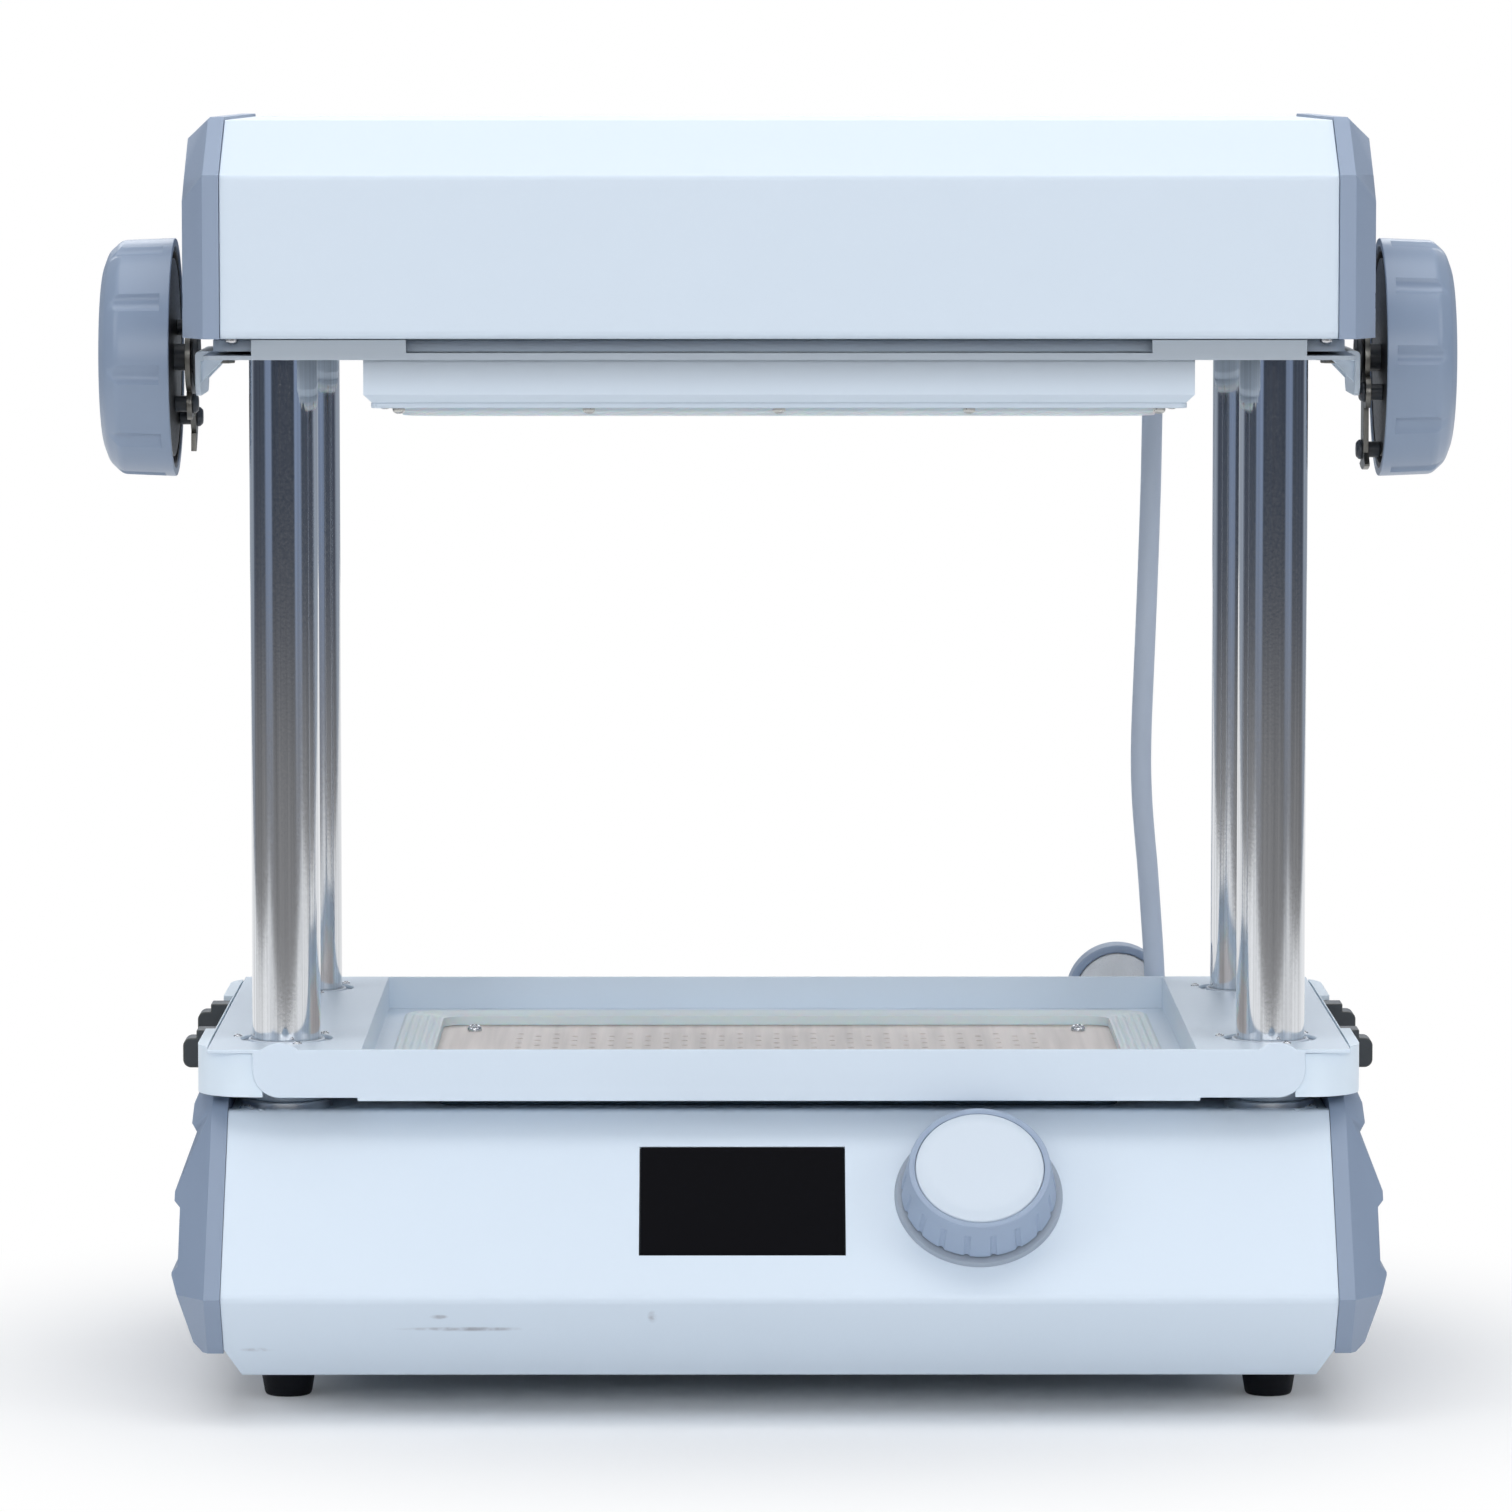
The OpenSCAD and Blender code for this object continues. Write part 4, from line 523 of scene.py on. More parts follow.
coverFoot = (46.5, 32, 1.5)
coverFit = ((0, 0), (198.5, 200))
hoodHeights = ((0, 0), (389, 388.4), (390.5, 389.9), (445.3, 446.8), (467, 466.5), (467.7, 467.6))
hoodFit = {"x": ((0, 0), (199.3, 200.5)), "z": hoodHeights}
fitSettings = {
    # old and new places across the machine and in height, how the foot of the front wall goes in
    # (from which height down, over which height, how far), and how the window shrinks (reach and
    # places from its middle, along x and y)
    "front_cover": {"x": coverFit, "foot": coverFoot},
    "deck_plate": {"x": coverFit},
    "rear_panel": {"x": coverFit},
    "base_cap": {
        "x": ((0, 0), (190, 191.5), (198.7, 200.2), (206.9, 207.8), (210.4, 211.3), (211.2, 211.5), (212.5, 212.8),
              (212.8, 213.6), (215, 216.5), (216.4, 218.7)),
        "z": ((0, 0), (55.5, 55.5), (71.5, 75), (73.5, 77), (76.5, 80), (95, 95), (96, 96)),
        "foot": coverFoot,
    },
    "hood_cover": hoodFit,
    "hood_floor": hoodFit,
    "hood_cap": {
        "x": ((0, 0), (199.45, 200.65), (204, 204.3), (205.7, 205.7), (206.5, 206.6), (213, 214.5), (214.3, 214.7),
              (215.3, 214.9)),
        "z": hoodHeights,
    },
    "sheet_frame": {"window": ((140, ((0, 0), (110, 107), (132, 129), (140, 140))),
                               (95, ((0, 0), (70, 66), (88, 84), (100, 100))))},
    "forming_table": {"x": ((0, 0), (125, 125), (128.5, 132)), "y": ((0, 0), (80, 80), (83, 86.5))},
    "carriage_plate": {"x": ((0, 0), (190.9, 190.9), (190.95, 189.5), (191.05, 189.5), (191.1, 191.1))},
    "wheel_brackets": {"x": ((0, 0), (200, 200), (207, 208.5))},
    **dict.fromkeys(("bracket_nuts", "wheel_axles", "wheel_disc", "claw"), {"x": ((0, 0), (200, 201.5))}),
}


def fitPlace(place, fit):
    # a vertex of a CAD node in millimetres, moved by the fit
    x, y, z = place
    top, height, inward = fit.get("foot", (0, 1, 0))
    if z < top and y < -100:
        y += inward * (top - z) / height
    (reachX, stopsX), (reachY, stopsY) = fit.get("window", ((0, ()), (0, ())))
    if abs(x) < reachX and abs(y - centreY) < reachY:
        x, y = stretch(x, stopsX), centreY + stretch(y - centreY, stopsY)
    if "x" in fit:
        x = stretch(x, fit["x"])
    if "y" in fit:
        y = centreY + stretch(y - centreY, fit["y"])
    if "z" in fit:
        z = stretch(z, fit["z"])
    return x, y, z


def fitOf(node):
    names = [name for name in fitSettings if node == name or node.startswith(name + "_")]
    return fitSettings[max(names, key=len)] if names else None


softRules = {"mergeGap": 2e-6, "flatAngle": 0.3, "sharpAngle": 28}


def softCopy(node, width, segments):
    # a copy of a CAD node, fitted to the photograph, with its edges rounded by the width in millimetres
    build = bmesh.new()
    build.from_mesh(nodes[node].data)
    fit = fitOf(node)
    if fit:
        for vert in build.verts:
            vert.co = Vector(fitPlace([c / mm for c in vert.co], fit)) * mm
    bmesh.ops.remove_doubles(build, verts=build.verts, dist=softRules["mergeGap"])
    bmesh.ops.dissolve_limit(build, angle_limit=math.radians(softRules["flatAngle"]), verts=build.verts,
                             edges=build.edges)
    mesh = meshOf(build, node + "Base")
    mesh.shade_smooth()
    carrier = newObject(node + "Carrier", mesh)
    bevel = carrier.modifiers.new("round edges", "BEVEL")
    bevel.limit_method = "ANGLE"
    bevel.angle_limit = math.radians(softRules["sharpAngle"])
    bevel.width = width * mm
    bevel.segments = segments
    bevel.use_clamp_overlap = True
    weigh = carrier.modifiers.new("even shading", "WEIGHTED_NORMAL")
    weigh.keep_sharp = True
    return evaluatedMesh(carrier, node + "Soft")


softSettings = {
    # node: finish, edge radius in millimetres, segments; a name that ends in _ is a left and a right node
    "base_floor": ("white", 0.3, 1), "front_cover": ("coverWhite", 0.4, 2), "deck_plate": ("white", 0.3, 2),
    "rear_panel": ("white", 0.4, 2), "base_cap_": ("baseGrey", 1.8, 4), "hood_cover": ("white", 0.4, 2),
    "hood_floor": ("panWhite", 0.3, 2), "hood_cap_": ("greyBlue", 1.4, 4), "sheet_frame": ("white", 0.5, 2),
    "frame_skirts": ("skirtWhite", 0.6, 2), "carriage_plate": ("carriageWhite", 0.5, 2),
    "wheel_brackets": ("white", 0.5, 2), "lock_keepers": ("keeperPlastic", 0.4, 2),
    "forming_table": ("laminate", 0.25, 1), "knob_ring": ("ringGrey", 0.3, 2),
    "display_glass": ("glass", 0.3, 2), "column_collars": ("aluminium", 0.4, 2),
    "retainer_ring": ("ringWhite", 0.4, 2), "clamp_gasket": ("silicone", 0.5, 2),
    "carriage_bushes": ("blackPlastic", 0.3, 2), "bracket_nuts": ("darkSteel", 0.4, 2),
    "wheel_axles": ("postGrey", 0.3, 2), "wheel_disc_": ("blackPlastic", 0.5, 2),
    "claw_": ("darkSteel", 0.3, 2), "claw_posts_": ("postGrey", 0.3, 2),
    "cable_glands": ("blackPlastic", 0.3, 2), "filter_cup": ("greyBlue", 0.8, 3),
    "filter_felt": ("felt", 1.0, 3), "mains_inlet": ("blackPlastic", 0.3, 2), "power_switch": ("red", 0.3, 2),
    "vacuum_box": ("boxGrey", 0.5, 2),
}
record = frame["record"]
bodyOf = {node: body for body, members in record["behaviour"]["bodies"].items() for node in members}


def camel(name):
    first, *rest = name.split("_")
    return first + "".join(word.capitalize() for word in rest)


for stem, (finish, width, segments) in softSettings.items():
    for node in (stem + "left", stem + "right") if stem.endswith("_") else (stem,):
        addPiece(camel(node), softCopy(node, width, segments), bodyOf[node], [node], finish)
print("soft edged pieces made:", len(softSettings), "rows")

plainNodes = {
    "blackPlastic": ["encoder_plunger", "vacuum_pump", "display_module"],
    "plated": ["knob_encoder"],
    "aluminium": ["power_supply"],
    "board": ["control_board"],
    "reflector": ["reflector"],
    "ceramic": ["heating_tubes"],
}
for finish, names in plainNodes.items():
    for name in names:
        nodes[name].data.materials.clear()
        nodes[name].data.materials.append(finishes[finish])


def evenTurns(count):
    return [2 * math.pi * k / count for k in range(count)]


def notchTurns(count, halfWidth, inside, outside):
    # closer columns where a notch is pressed in
    step = 2 * math.pi / count
    turns = []
    for k in range(count):
        turns += [k * step - halfWidth + 2 * halfWidth * i / inside for i in range(inside + 1)]
        turns += [k * step + halfWidth + (step - 2 * halfWidth) * i / (outside + 1) for i in range(1, outside + 1)]
    return turns


noNotch = 99.0


def latheMesh(name, profile, turns, falls=None, closed=False):
    # profile of radius and height in millimetres; a radius of zero closes the form on the axis;
    # the falls say how far below the surface of the notches each row lies
    build = bmesh.new()
    turnLayer = build.verts.layers.float.new("turn")
    fallLayer = build.verts.layers.float.new("fall")
    rows = []
    for i, (radius, height) in enumerate(profile):
        if radius == 0:
            vert = build.verts.new((0, 0, height * mm))
            vert[fallLayer] = noNotch
            rows.append([vert])
            continue
        row = []
        for turn in turns:
            vert = build.verts.new((radius * mm * math.cos(turn), radius * mm * math.sin(turn), height * mm))
            vert[turnLayer] = turn
            vert[fallLayer] = falls[i] if falls else noNotch
            row.append(vert)
        rows.append(row)
    pairs = list(zip(rows, rows[1:]))
    if closed:
        pairs.append((rows[-1], rows[0]))
    for low, high in pairs:
        for k in range(len(turns)):
            ring = [low[k % len(low)], low[(k + 1) % len(low)], high[(k + 1) % len(high)], high[k % len(high)]]
            face = list(dict.fromkeys(ring))
            if len(face) > 2:
                build.faces.new(face)
    bmesh.ops.recalc_face_normals(build, faces=build.faces)
    return meshOf(build, name)


def roundLoop(halfX, halfY, radius, steps):
    loop = []
    for corner, (sx, sy) in enumerate(((1, 1), (-1, 1), (-1, -1), (1, -1))):
        for k in range(steps + 1):
            a = math.pi / 2 * (corner + k / steps)
            loop.append((sx * (halfX - radius) + radius * math.cos(a), sy * (halfY - radius) + radius * math.sin(a)))
    return loop


def roundedLine(points, radius, steps):
    # the open line with its inner corners rounded
    line = [points[0]]
    for a, p, b in zip(points, points[1:], points[2:]):
        a, p, b = Vector(a), Vector(p), Vector(b)
        reach = min(radius, (a - p).length / 2, (b - p).length / 2)
        start, end = p + (a - p).normalized() * reach, p + (b - p).normalized() * reach
        for k in range(steps + 1):
            t = k / steps
            line.append(tuple(start.lerp(p, t).lerp(p.lerp(end, t), t)))
    return [*line, points[-1]]


def newTree(name, inputs):
    tree = bpy.data.node_groups.new(name, "GeometryNodeTree")
    for label, kind in [("Geometry", "Geometry"), *inputs, ("Material", "Material")]:
        tree.interface.new_socket(label, in_out="INPUT", socket_type="NodeSocket" + kind)
    tree.interface.new_socket("Geometry", in_out="OUTPUT", socket_type="NodeSocketGeometry")
    return tree, addNode(tree, "NodeGroupInput").outputs


def named(tree, name, kind):
    return addNode(tree, "GeometryNodeInputNamedAttribute", {"Name": name}, data_type=kind).outputs["Attribute"]


def finishTree(tree, geometry, material):
    plain = addNode(tree, "GeometryNodeRealizeInstances", {"Geometry": geometry}).outputs["Geometry"]
    paint = addNode(tree, "GeometryNodeSetMaterial", {"Geometry": plain, "Material": material})
    addNode(tree, "NodeGroupOutput", {"Geometry": paint.outputs["Geometry"]})
    return tree


def notchTree():
    # presses round notches into a turned form, by the angle round the axis
    tree, given = newTree("pressed notches", [(label, "Float")
                                              for label in ("Count", "Rim Radius", "Notch Radius", "Depth")])
    share = addMath(tree, "MULTIPLY", named(tree, "turn", "FLOAT"), given["Count"])
    part = addMath(tree, "DIVIDE", share, 2 * math.pi)
    near = addMath(tree, "SUBTRACT", part, addMath(tree, "ROUND", part))
    angle = addMath(tree, "DIVIDE", addMath(tree, "MULTIPLY", near, 2 * math.pi), given["Count"])
    aside = addMath(tree, "MULTIPLY", angle, given["Rim Radius"])
    radius = given["Notch Radius"]
    square = addMath(tree, "SUBTRACT", addMath(tree, "MULTIPLY", radius, radius),
                     addMath(tree, "MULTIPLY", aside, aside))
    root = addMath(tree, "SQRT", addMath(tree, "MAXIMUM", square, 0.0))
    lift = addMath(tree, "SUBTRACT", radius, root)
    raised = addMath(tree, "ADD", lift, named(tree, "fall", "FLOAT"))
    depth = addMath(tree, "MAXIMUM", addMath(tree, "SUBTRACT", given["Depth"], raised), 0.0)
    place = addNode(tree, "GeometryNodeInputPosition").outputs[0]
    outward = addVector(tree, "NORMALIZE", addVector(tree, "MULTIPLY", place, (1, 1, 0)))
    move = addScaled(tree, outward, addMath(tree, "MULTIPLY", depth, -mm))
    pressed = addNode(tree, "GeometryNodeSetPosition", {"Geometry": given["Geometry"], "Offset": move})
    return finishTree(tree, pressed.outputs["Geometry"], given["Material"])


def runTree(carrier, tree, values, name):
    modifier = carrier.modifiers.new(tree.name, "NODES")
    modifier.node_group = tree
    identifiers = {item.name: item.identifier for item in tree.interface.items_tree
                   if item.item_type == "SOCKET" and item.in_out == "INPUT"}
    for label, value in values.items():
        modifier[identifiers[label]] = value
    return evaluatedMesh(carrier, name)


notches = notchTree()

wheelSettings = {
    "inner": 224.4, "radius": 44.4, "length": 27.1, "draft": 0.8, "wallEnd": 19.6,
    "slant": (4.3, 4.7), "faceRim": (10.5, 7.0), "wall": 3.0, "hub": 10.0, "hubLow": 4.4,
    "bore": 5.05, "ribs": 6, "grooves": 10, "grooveRadius": 4.9, "grooveDepth": 1.5,
    "grooveStart": 3.6, "axleY": centreY, "axleZ": 377.6, "turns": {"Right": 15.0, "Left": -47.5},
}


def joinMeshes(name, meshes):
    build = bmesh.new()
    for mesh in meshes:
        build.from_mesh(mesh)
    return meshOf(build, name)


def boxMesh(name, low, high):
    build = bmesh.new()
    bmesh.ops.create_cube(build, size=1.0)
    for vert in build.verts:
        vert.co = Vector([(low[k] + high[k]) / 2 + vert.co[k] * (high[k] - low[k]) for k in range(3)]) * mm
    bmesh.ops.bevel(build, geom=build.edges, offset=0.2 * mm, segments=2, affect="EDGES")
    return meshOf(build, name)


def pressedForm(name, profile, falls, count, notchRadius, depth, radius, rim, columns, finish):
    # a turned form with notches, its columns closer where a notch is pressed in
    share, inside, outside = columns
    halfWidth = math.sqrt(notchRadius ** 2 - (notchRadius - depth) ** 2)
    turns = notchTurns(count, halfWidth * share / radius, inside, outside)
    return runTree(newObject(name + "Carrier", latheMesh(name, profile, turns, falls)), notches, {
        "Count": float(count), "Rim Radius": rim, "Notch Radius": notchRadius, "Depth": depth, "Material": finish,
    }, name)


def makeHandwheel(side, inner, radius, length, draft, wallEnd, slant, faceRim, wall, hub, hubLow, bore, ribs,
                  grooves, grooveRadius, grooveDepth, grooveStart, axleY, axleZ, turns):
    end, start = wallEnd, grooveStart
    (slantIn, slantRun), (rimIn, rimRun) = slant, faceRim

    def wallAt(z):
        return radius - draft * min(z, end) / end

    corner = wallAt(end)
    bend = roundedLine([(wallAt(end - 6), end - 6), (corner, end), (corner - slantIn, end + slantRun),
                        (corner - rimIn, end + rimRun), (corner - rimIn - 8, length)], 1.7, 8)
    outer = [(radius - 0.25, 0), (radius - 0.05, 0.25), (wallAt(1), 1), (wallAt(start), start - 0.06),
             (wallAt(start), start + 0.06), (wallAt(8), 8)] + bend + [(0, length)]
    falls = [max(0.0, wallAt(z) - r) * 0.85 if z > start and r > corner - slantIn else noNotch for r, z in outer]
    hollow = [(0, length - wall), (corner - rimIn - 8, length - wall),
              (corner - slantIn - 2, end + slantRun - wall - 0.6), (corner - wall, end - 2.4),
              (radius - wall, 0.3), (radius - wall + 0.3, 0)]
    cup = pressedForm("wheelCup", hollow + outer, [noNotch] * len(hollow) + falls, grooves, grooveRadius,
                      grooveDepth, radius, radius, (1.04, 16, 9), finishes["wheelGrey"])
    hubHigh = length - wall + 0.4
    parts = [cup, latheMesh("wheelHub", [(bore, hubLow), (hub, hubLow), (hub, hubHigh), (bore, hubHigh)],
                            evenTurns(48), closed=True)]
    for k in range(ribs):
        rib = boxMesh("wheelRib", (hub - 0.5, -1.25, hubLow), (radius - wall - 9, 1.25, end + 1))
        rib.transform(Matrix.Rotation(2 * math.pi * k / ribs, 4, "Z"))
        parts.append(rib)
    mesh = joinMeshes("handwheel" + side, parts)
    sign = 1 if side == "Right" else -1
    place = Matrix.Translation(Vector((sign * inner, axleY, axleZ)) * mm)
    outward = Matrix.Rotation(sign * math.pi / 2, 4, "Y")
    # the axis points away from the machine, and the first groove is at the top
    mesh.transform(place @ Matrix.Rotation(math.radians(turns[side]), 4, "X") @ outward
                   @ Matrix.Rotation(math.pi if sign > 0 else 0, 4, "Z"))
    body = side.lower() + "_wheel"
    addPiece("handwheel" + side, mesh, body, ["handwheel_" + side.lower()], "wheelGrey", 32)
    # a black skin inside the cup: painted shade of the hollow
    deep, shallow = radius - wall - 0.05, radius - wall - 1.8
    shadeSkin = latheMesh("wheelLiner" + side, [
        (shallow, 0.6), (deep - 0.2, 0.6), (deep, 0.8), (deep - 0.8, end - 3.5), (shallow - 0.8, end - 3.5),
    ], evenTurns(96), closed=True)
    shadeSkin.transform(place @ outward)
    addPiece("wheelLiner" + side, shadeSkin, body, [], "blackPlastic", 40)


makeHandwheel("Right", **wheelSettings)
makeHandwheel("Left", **wheelSettings)
print("handwheels made")

panelSettings = {"tilt": 49.247, "topY": -99.5, "topZ": 108.0}
knobSettings = {
    "x": 71.9, "down": 37.0, "foot": 2.75, "radius": 28.0, "rimRadius": 25.5, "height": 18.8,
    "rimIn": 2.2, "floor": 16.3, "wall": 2.2, "hub": 5.5, "notches": 18, "notchRadius": 1.3,
    "notchDepth": 0.7, "notchEnd": 12.7, "faceRadius": 23.1, "faceTop": 20.0,
}


def panelMatrix(x, down):
    tilt = math.radians(panelSettings["tilt"])
    y, z = panelSettings["topY"] - down * math.cos(tilt), panelSettings["topZ"] - down * math.sin(tilt)
    return Matrix.Translation(Vector((x, y, z)) * mm) @ Matrix.Rotation(tilt, 4, "X")


def makeKnob(x, down, foot, radius, rimRadius, height, rimIn, floor, wall, hub, notches, notchRadius, notchDepth,
             notchEnd, faceRadius, faceTop):
    rim, face = rimRadius, faceRadius
    slope = (radius - rim) / (height - foot)
    start = foot + 0.4
    sideRows = [(radius - slope * (z - foot), z) for z in (start + k * (height - 0.5 - start) / 24 for k in range(25))]
    side = [(radius - 0.4, foot)] + sideRows
    top = [(rim - 0.15, height - 0.1), (rim - 0.6, height), (rim - rimIn + 0.4, height),
           (rim - rimIn, height - 0.3), (rim - rimIn, floor), (0, floor)]
    low = [(0, foot + 0.3), (hub, foot + 0.3), (hub, floor - wall), (rim - wall, floor - wall), (radius - wall, foot)]
    falls = [noNotch] * len(low)
    for _, z in side:
        past = max(0.0, z - notchEnd) / notchRadius
        falls.append(notchRadius * (1 - math.sqrt(max(0.0, 1 - past ** 2))))
    falls += [noNotch] * len(top)
    mesh = pressedForm("knobGrip", low + side + top, falls, notches, notchRadius, notchDepth, radius,
                       (radius + rim) / 2, (1.08, 10, 8), finishes["knobGrey"])
    place = panelMatrix(x, down)
    mesh.transform(place)
    addPiece("knobGrip", mesh, "knob", ["knob_grip"], "knobGrey", 40)
    crown = roundedLine([(face, floor + 1), (face, faceTop - 1.1), (face - 3.6, faceTop - 0.05),
                         (face - 12, faceTop)], 1.6, 6)
    mesh = latheMesh("knobFace", [(0, floor), (face - 0.2, floor), (face, floor + 0.2), *crown, (0, faceTop)],
                     evenTurns(96))
    mesh.transform(place)
    addPiece("knobFace", mesh, "knob", ["knob_face"], "whitePlastic", 40)


makeKnob(**knobSettings)
print("knob made")

columnSettings = {
    "radius": 12.5, "low": 17.5, "high": 406.4, "chamfer": 1.0, "x": 180.0, "front": -75.5,
    "back": 84.5,
}

columnPlaces = [(x, columnSettings[end]) for x in (-columnSettings["x"], columnSettings["x"])
                for end in ("front", "back")]


def onColumn(name, profile, count, x, y, closed=False):
    # a turned form on the axis of a column
    mesh = latheMesh(name, profile, evenTurns(count), closed=closed)
    mesh.transform(Matrix.Translation(Vector((x, y, 0)) * mm))
    return mesh


def makeColumns(settings):
    r, low, high, c = settings["radius"], settings["low"], settings["high"], settings["chamfer"]
    profile = [(0, low), (r - c, low), (r, low + c), (r, low + c + 0.5), (r, (low + high) / 2),
               (r, high - c - 0.5), (r, high - c), (r - c, high), (0, high)]
    for x, y in columnPlaces:
        mesh = onColumn("column", profile, 128, x, y)
        node = f"column_{'front' if y < 0 else 'rear'}_{'left' if x < 0 else 'right'}"
        addPiece(camel(node), mesh, "base", [node], "columnSteel", 35)


makeColumns(columnSettings)
print("columns made")

footSettings = {"top": 11.0, "foot": 8.6, "edge": 1.2, "height": 16.0, "groove": 0.5}


def makeFeet(top, foot, edge, height, groove):
    # tapered rubber feet with a fine parting groove near the top
    slope = (top - foot) / height
    sole = [(0.5, 0), (foot - edge * 0.4, 0), (foot + 0.1, edge), (foot + slope * 6, 6)]
    profile = [(0, 0)] + roundedLine(sole, 1.0, 4)
    profile += [(top - slope * 3.4, height - 3.4), (top - slope * 3.2 - groove, height - 3.2),
                (top - slope * 2.6 - groove, height - 2.6), (top - slope * 2.4, height - 2.4), (top, height - 0.3),
                (top - 0.3, height), (0, height)]
    mesh = joinMeshes("feet", [onColumn("foot", profile, 64, x, y) for x, y in columnPlaces])
    addPiece("feet", mesh, "base", ["feet"], "rubber", 30)


makeFeet(**footSettings)
print("feet made")

panRimSettings = {"halfWidth": 204.0, "front": -103.2, "back": 118.7, "radius": 5.0, "low": 383.6, "high": 388.1,
                  "neck": 200.5, "top": 390.0, "sheet": 1.5}


def frameRing(halfX, halfY, radius, z, middleY, steps):
    return [Vector((x, y + middleY, z)) * mm for x, y in roundLoop(halfX, halfY, radius, steps)]


def makePanRim(halfWidth, front, back, radius, low, high, neck, top, sheet):
    # the turned rim of the heater pan, seen at both ends below the hood
    midY, halfY, drop = (front + back) / 2, (back - front) / 2, halfWidth - neck
    section = [(0, low), (0, high - 0.6), (-0.6, high), (-drop, high), (-drop, top), (-drop - sheet, top),
               (-drop - sheet, high - sheet), (-sheet, high - sheet), (-sheet, low)]
    mesh = ringsMesh("heaterPanRim", [frameRing(halfWidth + w, halfY + w, max(radius + w, 0.5), z, midY, 6)
                                      for w, z in section], closed=True)
    addPiece("heaterPanRim", mesh, "base", [], "panWhite", 30)


makePanRim(**panRimSettings)
print("pan rim made")

sealSettings = {
    "width": 258.0, "depth": 168.0, "edge": 14.6, "innerRadius": 8.0, "outerRadius": 10.0,
    "low": 119.1, "thickness": 1.5, "ribs": 5, "ribDepth": 0.7, "lip": (0.7, 2.6),
}


def makeSeal(width, depth, edge, innerRadius, outerRadius, low, thickness, ribs, ribDepth, lip):
    # a ribbed edge round the window, with a lip that hangs into it
    top, steps = low + thickness, 10 * ribs
    lipIn, lipDown = lip
    section = [(0.0, low), (-0.05, low - lipDown), (-lipIn, low - lipDown), (-lipIn, top - ribDepth)]
    for k in range(steps + 1):
        groove = abs(math.cos(math.pi * k * ribs / steps)) ** 3
        section.append((edge * k / steps, top - ribDepth * groove))
    section.append((edge, low))
    mesh = ringsMesh("frameSeal", [frameRing(
        width / 2 + w, depth / 2 + w, innerRadius + (outerRadius - innerRadius) * max(w, 0) / edge, z, centreY, 10,
    ) for w, z in section], closed=True)
    addPiece("frameSeal", mesh, "base", ["frame_seal"], "silicone", 50)


makeSeal(**sealSettings)
print("seal made")

bushSettings = {"outer": 14.1, "bore": 12.8, "low": 109.6, "top": 131.6, "flange": 23.0, "flangeLow": 127.9,
                "flangeTop": 130.05}


def makeFrameBushes(outer, bore, low, top, flange, flangeLow, flangeTop):
    profile = [(bore, low), (outer - 0.3, low), (outer, low + 0.3), (outer, flangeLow), (flange - 0.3, flangeLow),
               (flange, flangeLow + 0.3), (flange, flangeTop - 0.2), (flange - 0.2, flangeTop), (outer, flangeTop),
               (outer, top - 0.3), (outer - 0.3, top), (bore + 0.4, top), (bore, top - 0.4)]
    mesh = joinMeshes("frameBushes", [onColumn("bush", profile, 64, x, y, closed=True) for x, y in columnPlaces])
    addPiece("frameBushes", mesh, "base", ["frame_bushes"], "bushWhite", 35)


makeFrameBushes(**bushSettings)
print("frame bushes made")

up, down, back = (0, 0, 1), (0, 0, -1), (0, 1, 0)
ringAcross = (-137.0, -68.5, 0.0, 68.5, 137.0)
screwSettings = {
    "head": 5.5,
    "height": 2.6,
    "recess": 1.3,
    "seed": 4,
    # screws of a bush: reach from the column, first turn, height and head
    "bush": (18.8, 165.0, 130.9, 3.4),
    # piece: body, replaced nodes, finish, and rows of facing, head and the places along x, y and z
    "pieces": {
        "baseScrews": ("base", ["base_screws"], "chrome", [
            (up, 5.5, (-194.0, 194.0), (-92.0, -59.0, 68.0, 101.0), (106.5,)),
            (back, 5.5, (-194.6, 194.6), (152.5,), (23.0, 99.5)),
            (up, 5.5, (-116.0, 116.0), (-61.5, 70.5), (116.3,)),
        ]),
        "hoodScrews": ("base", ["hood_screws"], "chrome", [(back, 5.5, (-169.8, 0.0, 169.8), (142.5,), (433.9,))]),
        "smallScrews": ("base", [], "chrome", [(down, 4.6, (-196.5, 196.5), (-108.5, 135.5), (388.4,))]),
        "ringScrews": ("carriage", ["ring_screws"], "plated", [
            (down, 4.6, ringAcross, (-101.1,), (363.2,)),
            (down, 4.6, ringAcross, (110.1,), (363.2,)),
            (down, 4.6, (-143.6, 143.6), (-64.0, 4.5, 73.0), (363.2,)),
        ]),
    },
}


def crossHeadMesh(settings):
    # pan head with a cross recess, standing on z = 0
    r, h = settings["head"] / 2, settings["height"]
    dome = [(r * math.cos(a), h * 0.35 + h * 0.65 * math.sin(a)) for a in (math.pi / 12 * k for k in range(1, 6))]
    profile = [(0, 0), (r, 0), (r, h * 0.35), *dome, (0, h)]
    carrier = newObject("screwHeadCarrier", latheMesh("screwHead", profile, evenTurns(24)))
    arm, depth = r * 0.62, settings["recess"]
    cutter = joinMeshes("crossCutter", [boxMesh("arm", (-arm, -0.42, h - depth), (arm, 0.42, h + 1)),
                                        boxMesh("arm", (-0.42, -arm, h - depth), (0.42, arm, h + 1))])
    tool = newObject("crossCutterCarrier", cutter)
    cut = carrier.modifiers.new("recess", "BOOLEAN")
    cut.operation = "DIFFERENCE"
    cut.solver = "EXACT"
    cut.use_self = True
    cut.object = tool
    mesh = evaluatedMesh(carrier, "screwHead")
    bpy.data.objects.remove(tool)
    smoothShade(mesh, 30)
    return mesh


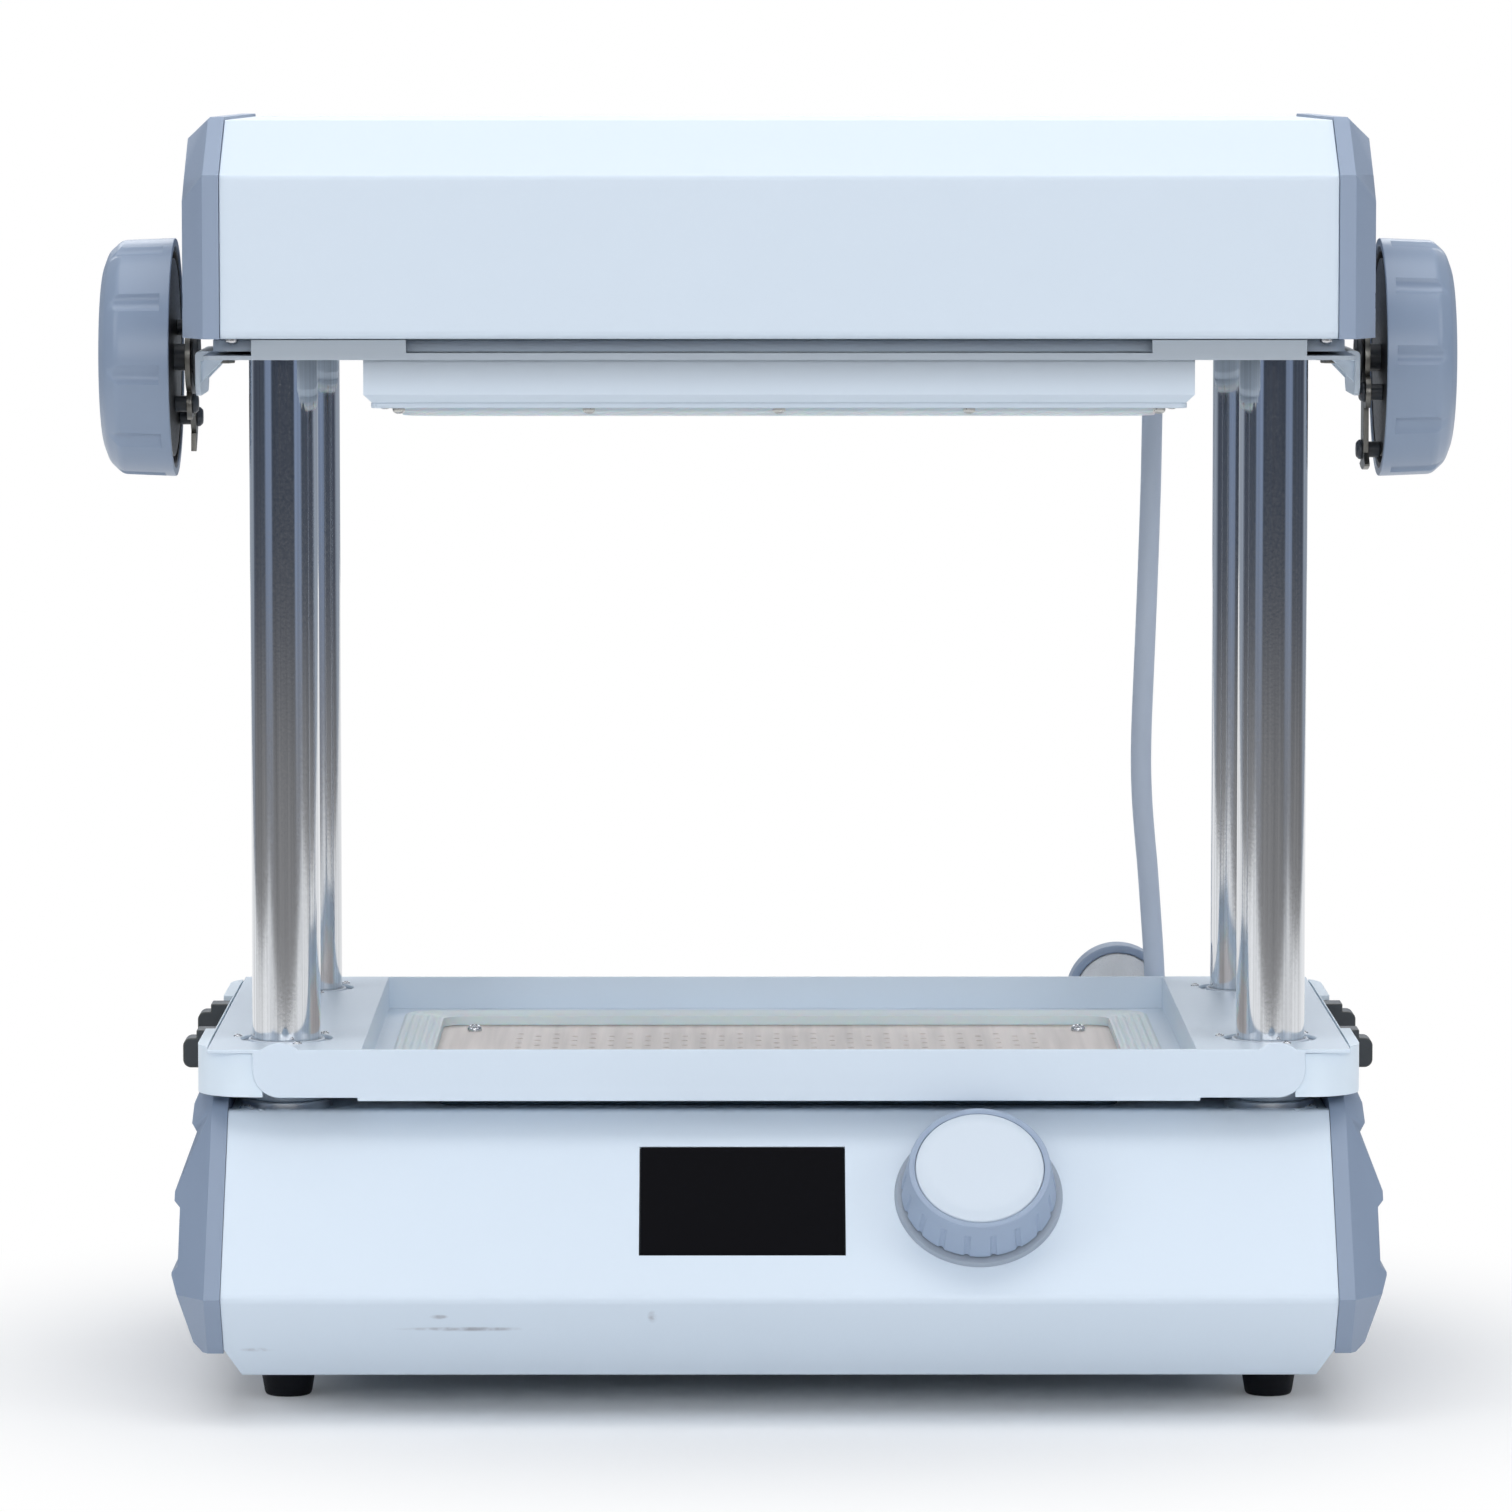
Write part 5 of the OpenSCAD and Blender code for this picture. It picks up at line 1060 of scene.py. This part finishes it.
def screwTree():
    # one screw on each point, turned to face out and spun by chance
    tree, given = newTree("screws on points", [("Screw", "Object"), ("Seed", "Int")])
    shape = addNode(tree, "GeometryNodeObjectInfo", {"Object": given["Screw"]}).outputs["Geometry"]
    face = addNode(tree, "FunctionNodeAlignRotationToVector", {"Vector": named(tree, "facing", "FLOAT_VECTOR")},
                   axis="Z").outputs["Rotation"]
    chance = addNode(tree, "FunctionNodeRandomValue", {3: 2 * math.pi, "Seed": given["Seed"]},
                     data_type="FLOAT").outputs[1]
    spin = addNode(tree, "FunctionNodeAxisAngleToRotation", {"Axis": up, "Angle": chance}).outputs["Rotation"]
    turned = addNode(tree, "FunctionNodeRotateRotation", {"Rotation": face, "Rotate By": spin},
                     rotation_space="LOCAL").outputs["Rotation"]
    place = addNode(tree, "GeometryNodeInstanceOnPoints", {
        "Points": given["Geometry"], "Instance": shape, "Rotation": turned, "Scale": named(tree, "size", "FLOAT"),
    })
    return finishTree(tree, place.outputs["Instances"], given["Material"])


def screwPoints(name, spots):
    # a spot is place, facing and head diameter
    mesh = bpy.data.meshes.new(name)
    mesh.from_pydata([Vector(spot[0]) * mm for spot in spots], [], [])
    mesh.attributes.new("facing", "FLOAT_VECTOR", "POINT")
    mesh.attributes.new("size", "FLOAT", "POINT")
    for k, (_, direction, head) in enumerate(spots):
        mesh.attributes["facing"].data[k].vector = direction
        mesh.attributes["size"].data[k].value = head / screwSettings["head"]
    return mesh


def bushSpots(reach, firstTurn, z, head):
    turns = [math.radians(firstTurn + 120 * k) for k in range(3)]
    return [((x + reach * math.cos(a), y + reach * math.sin(a), z), up, head) for x, y in columnPlaces for a in turns]


def makeScrews(settings):
    screw = newObject("screwShapeCarrier", crossHeadMesh(settings))
    tree = screwTree()
    for name, (body, replaced, finish, places) in settings["pieces"].items():
        spots = [((x, y, z), facing, head) for facing, head, xs, ys, zs in places
                 for x in xs for y in ys for z in zs]
        if name == "smallScrews":
            spots += bushSpots(*settings["bush"])
        carrier = newObject(name + "Carrier", screwPoints(name, spots))
        values = {"Screw": screw, "Seed": settings["seed"], "Material": finishes[finish]}
        addPiece(name, runTree(carrier, tree, values, name), body, replaced, finish)
    bpy.data.objects.remove(screw)


makeScrews(screwSettings)
print("screws made")
